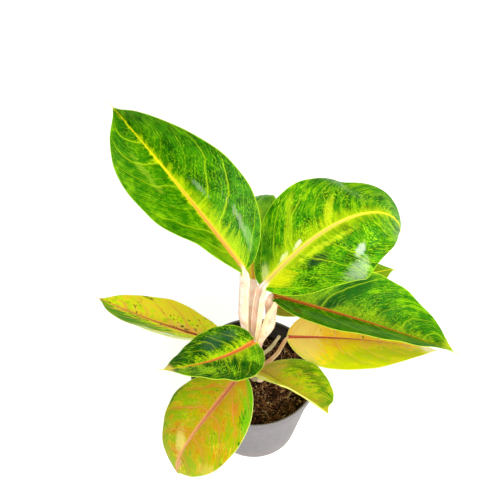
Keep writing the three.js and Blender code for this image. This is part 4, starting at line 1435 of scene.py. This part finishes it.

# %% [markdown]
# On the real plant the oldest leaves, low down, have turned gold, and the highest are the greenest.
# Shared values come first, and each leaf changes only what differs. A patch is a colour, its place
# along and across the blade, its reach both ways, its slant, how ragged its edge is and its strength.
# Most patches are the leaf's own colour marks, and a few are painted highlights and sheen, marked where they
# stand.

# %% Leaf colours: what most leaves share
GREEN = dict(
    deep=colour("1c5a00"), mid=colour("388400"), light=colour("86bc02"), fleck=colour("a2d80e"),
    fleck_show=0.8, halo=colour("cce008"), vein=colour("b2dc1c"), margin=colour("c4e62a"),
    rib_base=colour("ecbc36"), rib_tip=colour("ece41c"), rib_core=colour("e0905a"), rib_core_show=0.75,
    rib_show=1.0, rib_ragged=0.5, rib_soft=0.2, under=colour("a8cf5a"), stalk=colour("fce6d6"),
    stalk_shade=colour("f6cfb8"), stalk_line=colour("f8ecd0"), stalk_in=0.02, blade_from=0.0,
    wing=colour("d2d67c"), wing_show=0.3,
    speck=colour("7a4a28"), flecks=0.62, fleck_length=2.2, fleck_size=0.9, fleck_clusters=0.5,
    ink=0.0, ink_length=2.0, ink_size=1.0, ink_clusters=0.5, ink_show=0.0, ink_colour=colour("2c6a10"),
    glow_base=0.26, glow_tip=0.05, glow_side=0.0, feather=0.6, glow=0.8, main=0.7, soft=0.25, fine=0.25,
    vein_width=0.035, vein_floor=0.2, uneven=0.6, edge=0.6, rib_turn=0.45, rib_width=1.2, rough=0.3,
    deep_at=0.5, by_cloud=0.8, by_blotch=0.9, by_streak=1.1, by_edge=0.0, by_tip=0.1, by_side_with_painted_shade=0.0,
    patches=[],
)
GOLDEN_LEAF = dict(
    GREEN, deep=colour("a8ba02"), mid=colour("d6cc0a"), light=colour("eebc22"), fleck=colour("f0e63a"),
    fleck_show=0.5, halo=colour("f0a82c"), vein=colour("e8924a"), margin=colour("f0f088"),
    rib_base=colour("e58a50"), rib_tip=colour("e8a860"), rib_core=colour("dd7a4a"), rib_core_show=0.6,
    under=colour("dfe07a"), stalk=colour("ffe2c0"), stalk_shade=colour("f4c69c"), flecks=0.5, ink=0.16,
    ink_show=0.9, ink_colour=colour("2a7408"), ink_clusters=0.9, ink_size=1.6, glow_base=0.35,
    glow_tip=0.1, glow=0.5, main=0.8, soft=0.6, fine=0.2, vein_width=0.05, vein_floor=0.6, uneven=0.9,
    rough=0.34, deep_at=0.35, by_cloud=1.1, by_streak=0.9, by_edge=0.25, by_tip=0.2,
    rib_width=1.0,
)
print("shared looks:", len(GREEN))

# %% Leaf colours: each leaf
LOOKS = {
    "leaf_upper_left": dict(
        # Painted light and shade: the right half darker and the left half lighter, as if lit through from
        # behind
        GREEN, deep=colour("1a5600"), mid=colour("347e00"), light=colour("78b202"), by_side_with_painted_shade=-0.16,
        fleck=colour("86c40a"), fleck_size=0.75, fleck_length=1.7, fleck_clusters=0.3,
        glow_base=0.19, glow_tip=0.04, glow_side=-0.3, stalk_in=0.045, by_streak=0.8,
        rib_soft=0.45, ink=0.5, ink_length=1.6, ink_size=0.7, ink_clusters=0.3, ink_show=0.4,
        ink_colour=colour("2f7a02"), patches=[
            ("b0d00e", 0.10, -0.30, 0.07, 0.2, 0.2, 1.3, 0.45),
            # Painted sheen: the next two greyish patches stand for the lamps' gloss on the right half
            ("a4b294", 0.43, -0.28, 0.045, 0.04, 0.25, 0.9, 0.34),
            ("b4bc98", 0.20, -0.55, 0.09, 0.05, 0.35, 0.9, 0.36),
            ("7fae5c", 0.12, -0.62, 0.05, 0.1, 0.2, 0.4, 0.5),
            ("a8cc2a", 0.62, 0.42, 0.12, 0.06, 0.3, 1.2, 0.42),
            ("9cc60c", 0.08, 0.5, 0.10, 0.35, 0.0, 0.9, 0.5),
        ]),
    "leaf_back": dict(
        GREEN, deep=colour("3a8a06"), mid=colour("74ba0c"), light=colour("bce028"), rib_base=colour("dcb838"),
        rib_core=colour("b8501c"), rib_core_show=0.45, halo=colour("e0d822"), glow_base=0.8),
    "leaf_upper_right": dict(
        GREEN, deep=colour("185400"), mid=colour("388602"), light=colour("82b602"), halo=colour("b4cc06"),
        stalk=colour("fae0cc"), stalk_shade=colour("f0c4a6"), flecks=0.66, glow_base=0.32, glow_tip=0.09,
        rib_ragged=1.0, rib_soft=0.7, ink=0.62, ink_length=1.5, ink_size=0.7, ink_clusters=0.3,
        ink_show=0.55, ink_colour=colour("348404"),
        rib_base=colour("e0d83a"), rib_core=colour("dcb070"), rib_core_show=0.7, rib_turn=0.6,
        rib_width=1.05, by_streak=1.5, stalk_in=0.04, patches=[
            ("f2f2c0", 0.245, 0.095, 0.022, 0.04, 0.4, 0.7, 0.75),
            ("eef0a8", 0.155, 0.11, 0.035, 0.05, 0.3, 0.7, 0.7),
            ("ecec98", 0.045, 0.3, 0.03, 0.22, 0.1, 0.4, 0.5),
            ("e8e40e", 0.07, -0.3, 0.06, 0.25, 0.0, 0.5, 0.6),
            ("d8e620", 0.34, -0.20, 0.13, 0.05, -0.7, 0.7, 0.6),
            ("d4e01c", 0.47, 0.3, 0.025, 0.28, 0.2, 0.9, 0.6),
            ("c2d814", 0.27, 0.45, 0.025, 0.3, 0.25, 0.8, 0.5),
            ("2c6e04", 0.17, 0.62, 0.05, 0.3, 0.25, 0.9, 0.5),
            # Painted highlights: the next two whitish patches stand for the lamps' gloss on the blade
            ("e6ecdc", 0.517, -0.56, 0.045, 0.08, 0.3, 0.35, 0.55),
            ("c8d8b0", 0.44, -0.84, 0.10, 0.15, 0.3, 0.35, 0.4),
            ("1c3e1a", 0.264, -0.37, 0.055, 0.09, 0.0, 0.12, 1.0),
        ]),
    "leaf_right": dict(
        GREEN, deep=colour("1a5800"), mid=colour("368000"), light=colour("80ba02"), fleck=colour("98cc08"),
        fleck_size=0.75, by_blotch=1.0, by_streak=1.8, rib_base=colour("c87c26"),
        rib_core=colour("a04c1c"), rib_tip=colour("c48420"),
        rib_turn=0.8, rib_width=1.0, glow_side=0.6, glow_base=0.2, glow_tip=0.08, glow=0.65,
        halo=colour("b8d804"), feather=0.9, ink=0.95, ink_size=0.8, ink_clusters=0.2, ink_show=0.6,
        ink_colour=colour("246c02"), stalk=colour("fadcc6"), stalk_shade=colour("f0c2a6"),
        blade_from=-0.035, by_side_with_painted_shade=-0.1, patches=[
            ("9cc80a", 0.14, 0.45, 0.13, 0.4, 0.1, 0.9, 0.5),
            ("124a02", 0.27, 0.22, 0.055, 0.19, 0.25, 0.2, 1.0),
            ("145004", 0.36, 0.60, 0.06, 0.32, 0.22, 0.2, 0.95),
            ("6a9a48", 0.38, -0.55, 0.34, 0.2, 0.0, 1.2, 0.6),
            ("7a3a1c", 0.12, -0.62, 0.02, 0.12, 0.0, 0.4, 0.7),
            ("d0d828", 0.97, 0.0, 0.06, 1.2, 0.0, 0.2, 0.8),
        ]),
    "leaf_right_back": dict(
        GREEN, deep=colour("5c9a04"), mid=colour("9aae0c"), light=colour("c9bb1c"),
        rib_base=colour("d8672f"), patches=[
            ("98822c", 0.05, -0.6, 0.16, 0.6, 0.0, 0.3, 0.9),
            ("8aa81c", 0.93, 0.0, 0.12, 1.2, 0.0, 0.4, 0.6),
        ]),
    "leaf_lower_right": dict(
        GOLDEN_LEAF, rib_width=0.8, rib_base=colour("cc6444"), rib_core=colour("b84a34"),
        rib_tip=colour("e8a050"), vein=colour("ffc88c"), main=0.5, soft=0.3, deep=colour("d4d800"),
        mid=colour("ffdc06"), light=colour("ffc436"), stalk=colour("f6c694"),
        stalk_shade=colour("e4a878"), blade_from=-0.03, deep_at=0.3, by_side_with_painted_shade=-0.35, ink=0.1, ink_size=2.2,
        patches=[
            ("ffd888", 0.07, -0.1, 0.12, 1.0, 0.0, 0.5, 0.6),
            ("f6ecc6", 0.94, 0.2, 0.06, 1.0, 0.0, 0.3, 0.8),
            ("c6d200", 0.60, -0.6, 0.25, 0.25, 0.0, 0.8, 0.7),
        ]),
    "leaf_front_right": dict(
        GOLDEN_LEAF, deep=colour("84b804"), mid=colour("ccdc04"), light=colour("dcc024"), ink=0.5,
        ink_size=0.8, ink_clusters=0.5, ink_colour=colour("24620a"), by_blotch=1.7, by_streak=2.0,
        fine=0.4, vein=colour("c09434"),
        main=0.3, soft=0.2, halo=colour("c8b42c"), rib_base=colour("b09038"), rib_core=colour("a07c38"),
        rib_tip=colour("b8a83c"), rib_width=0.5, rib_show=0.35, by_side_with_painted_shade=0.2, patches=[
            ("cca45a", 0.06, 0.25, 0.13, 0.8, 0.0, 0.9, 0.6),
            ("c08a4c", 0.04, -0.3, 0.08, 0.4, 0.0, 0.8, 0.5),
            ("35740c", 0.48, 0.68, 0.26, 0.09, 0.0, 1.8, 0.7),
            ("4f9210", 0.86, 0.4, 0.10, 0.4, 0.0, 1.0, 0.5),
            ("f4ecc4", 0.30, -0.75, 0.10, 0.18, 0.0, 0.3, 0.9),
            ("e2ea70", 0.45, -0.8, 0.35, 0.18, 0.0, 0.4, 0.75),
            ("f0e22c", 0.97, 0.0, 0.07, 1.2, 0.0, 0.2, 0.9),
        ]),
    "leaf_centre_left": dict(
        GREEN, deep=colour("0e4600"), mid=colour("1c6200"), light=colour("529204"), fleck=colour("9ed012"),
        flecks=0.72, fleck_size=1.15, fleck_clusters=0.9, fleck_length=1.5, main=0.24, soft=0.22,
        vein=colour("a0cc1c"), vein_width=0.045, vein_floor=0.1, uneven=1.9, rib_turn=0.8,
        rib_base=colour("dc8a34"), rib_core=colour("c05c26"), rib_width=1.05, rib_ragged=0.9, glow_base=0.22,
        glow_tip=0.11, feather=1.5, deep_at=0.68, glow=0.6, by_streak=0.9, by_blotch=1.3, stalk_in=0.01,
        blade_from=-0.05, patches=[
            ("e8c86a", 0.97, 0.0, 0.06, 1.2, 0.0, 0.2, 0.85),
            ("7abc0c", 0.08, 0.35, 0.10, 0.4, 0.0, 1.4, 0.35),
            # Painted sheen: the next two grey-blue patches are a reflection painted on the dark blade
            ("2e5438", 0.40, -0.55, 0.12, 0.22, 0.1, 0.8, 0.7),
            ("2e5438", 0.20, -0.6, 0.08, 0.2, 0.1, 0.8, 0.7),
        ]),
    "leaf_front": dict(
        GOLDEN_LEAF, light=colour("bc8408"), mid=colour("b0a200"), deep=colour("8aa800"),
        halo=colour("c0801c"), rib_width=1.5, rib_ragged=1.6, rib_soft=0.4, vein_width=0.055,
        rib_base=colour("c88454"),
        rib_core=colour("b05c38"), rib_core_show=0.8, vein_floor=0.8, rib_tip=colour("d49860"),
        vein=colour("d88e44"), main=0.65, soft=0.5, fine=0.4, deep_at=0.5, by_streak=2.0,
        by_blotch=1.2, glow_base=0.5, glow_side=0.2, stalk_in=0.01, patches=[
            ("e0d070", 0.665, -0.17, 0.075, 0.19, 0.3, 0.35, 0.6),
            ("58b00a", 0.12, 0.9, 0.20, 0.18, 0.0, 0.8, 0.8),
            ("2f6a14", 0.36, 1.0, 0.014, 0.06, 0.0, 0.2, 0.9),
            ("2f6a14", 0.44, -0.97, 0.10, 0.05, 0.0, 0.5, 0.8),
            ("d07424", 0.20, 0.5, 0.04, 0.08, 0.0, 1.0, 0.7),
            ("dca078", 0.86, 0.05, 0.07, 0.16, 0.0, 0.4, 0.7),
            ("8a5a34", 0.55, 0.97, 0.01, 0.04, 0.0, 0.2, 0.6),
            ("d8b848", 0.68, 0.85, 0.06, 0.2, 0.0, 0.5, 0.5),
        ]),
    "leaf_left": dict(
        GOLDEN_LEAF, rib_base=colour("a04428"), rib_core=colour("88301c"), rib_tip=colour("d88c4a"),
        rib_width=1.4, rib_turn=0.4, light=colour("f4da28"), mid=colour("e0ea08"), deep=colour("a4d000"),
        vein=colour("e8a850"), halo=colour("f8b038"), ink=0.45, ink_size=3.6, ink_length=1.0,
        ink_clusters=0.6, ink_colour=colour("175408"), by_blotch=1.9, by_streak=1.3, by_side_with_painted_shade=0.45,
        deep_at=0.38, patches=[
            ("3c8a08", 0.72, 0.75, 0.28, 0.40, 0.0, 1.2, 0.9),
            ("f0b060", 0.25, 0.0, 0.2, 0.25, 0.0, 0.6, 0.6),
            ("e8f0b4", 0.3, 0.92, 0.25, 0.14, 0.0, 0.4, 0.85),
        ]),
}
print("patches:", sum(len(looks["patches"]) for looks in LOOKS.values()))

for order, (name, leaf) in enumerate(LEAVES.items()):
    points, faces, values, flat = leaf_mesh(leaf)
    finish = leaf_finish(name, LOOKS[name], 7.0 * order)
    made = piece(name.replace("leaf", "living_leaf"), points, faces, [finish], values, crease=50, flat=flat)
    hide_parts(name)
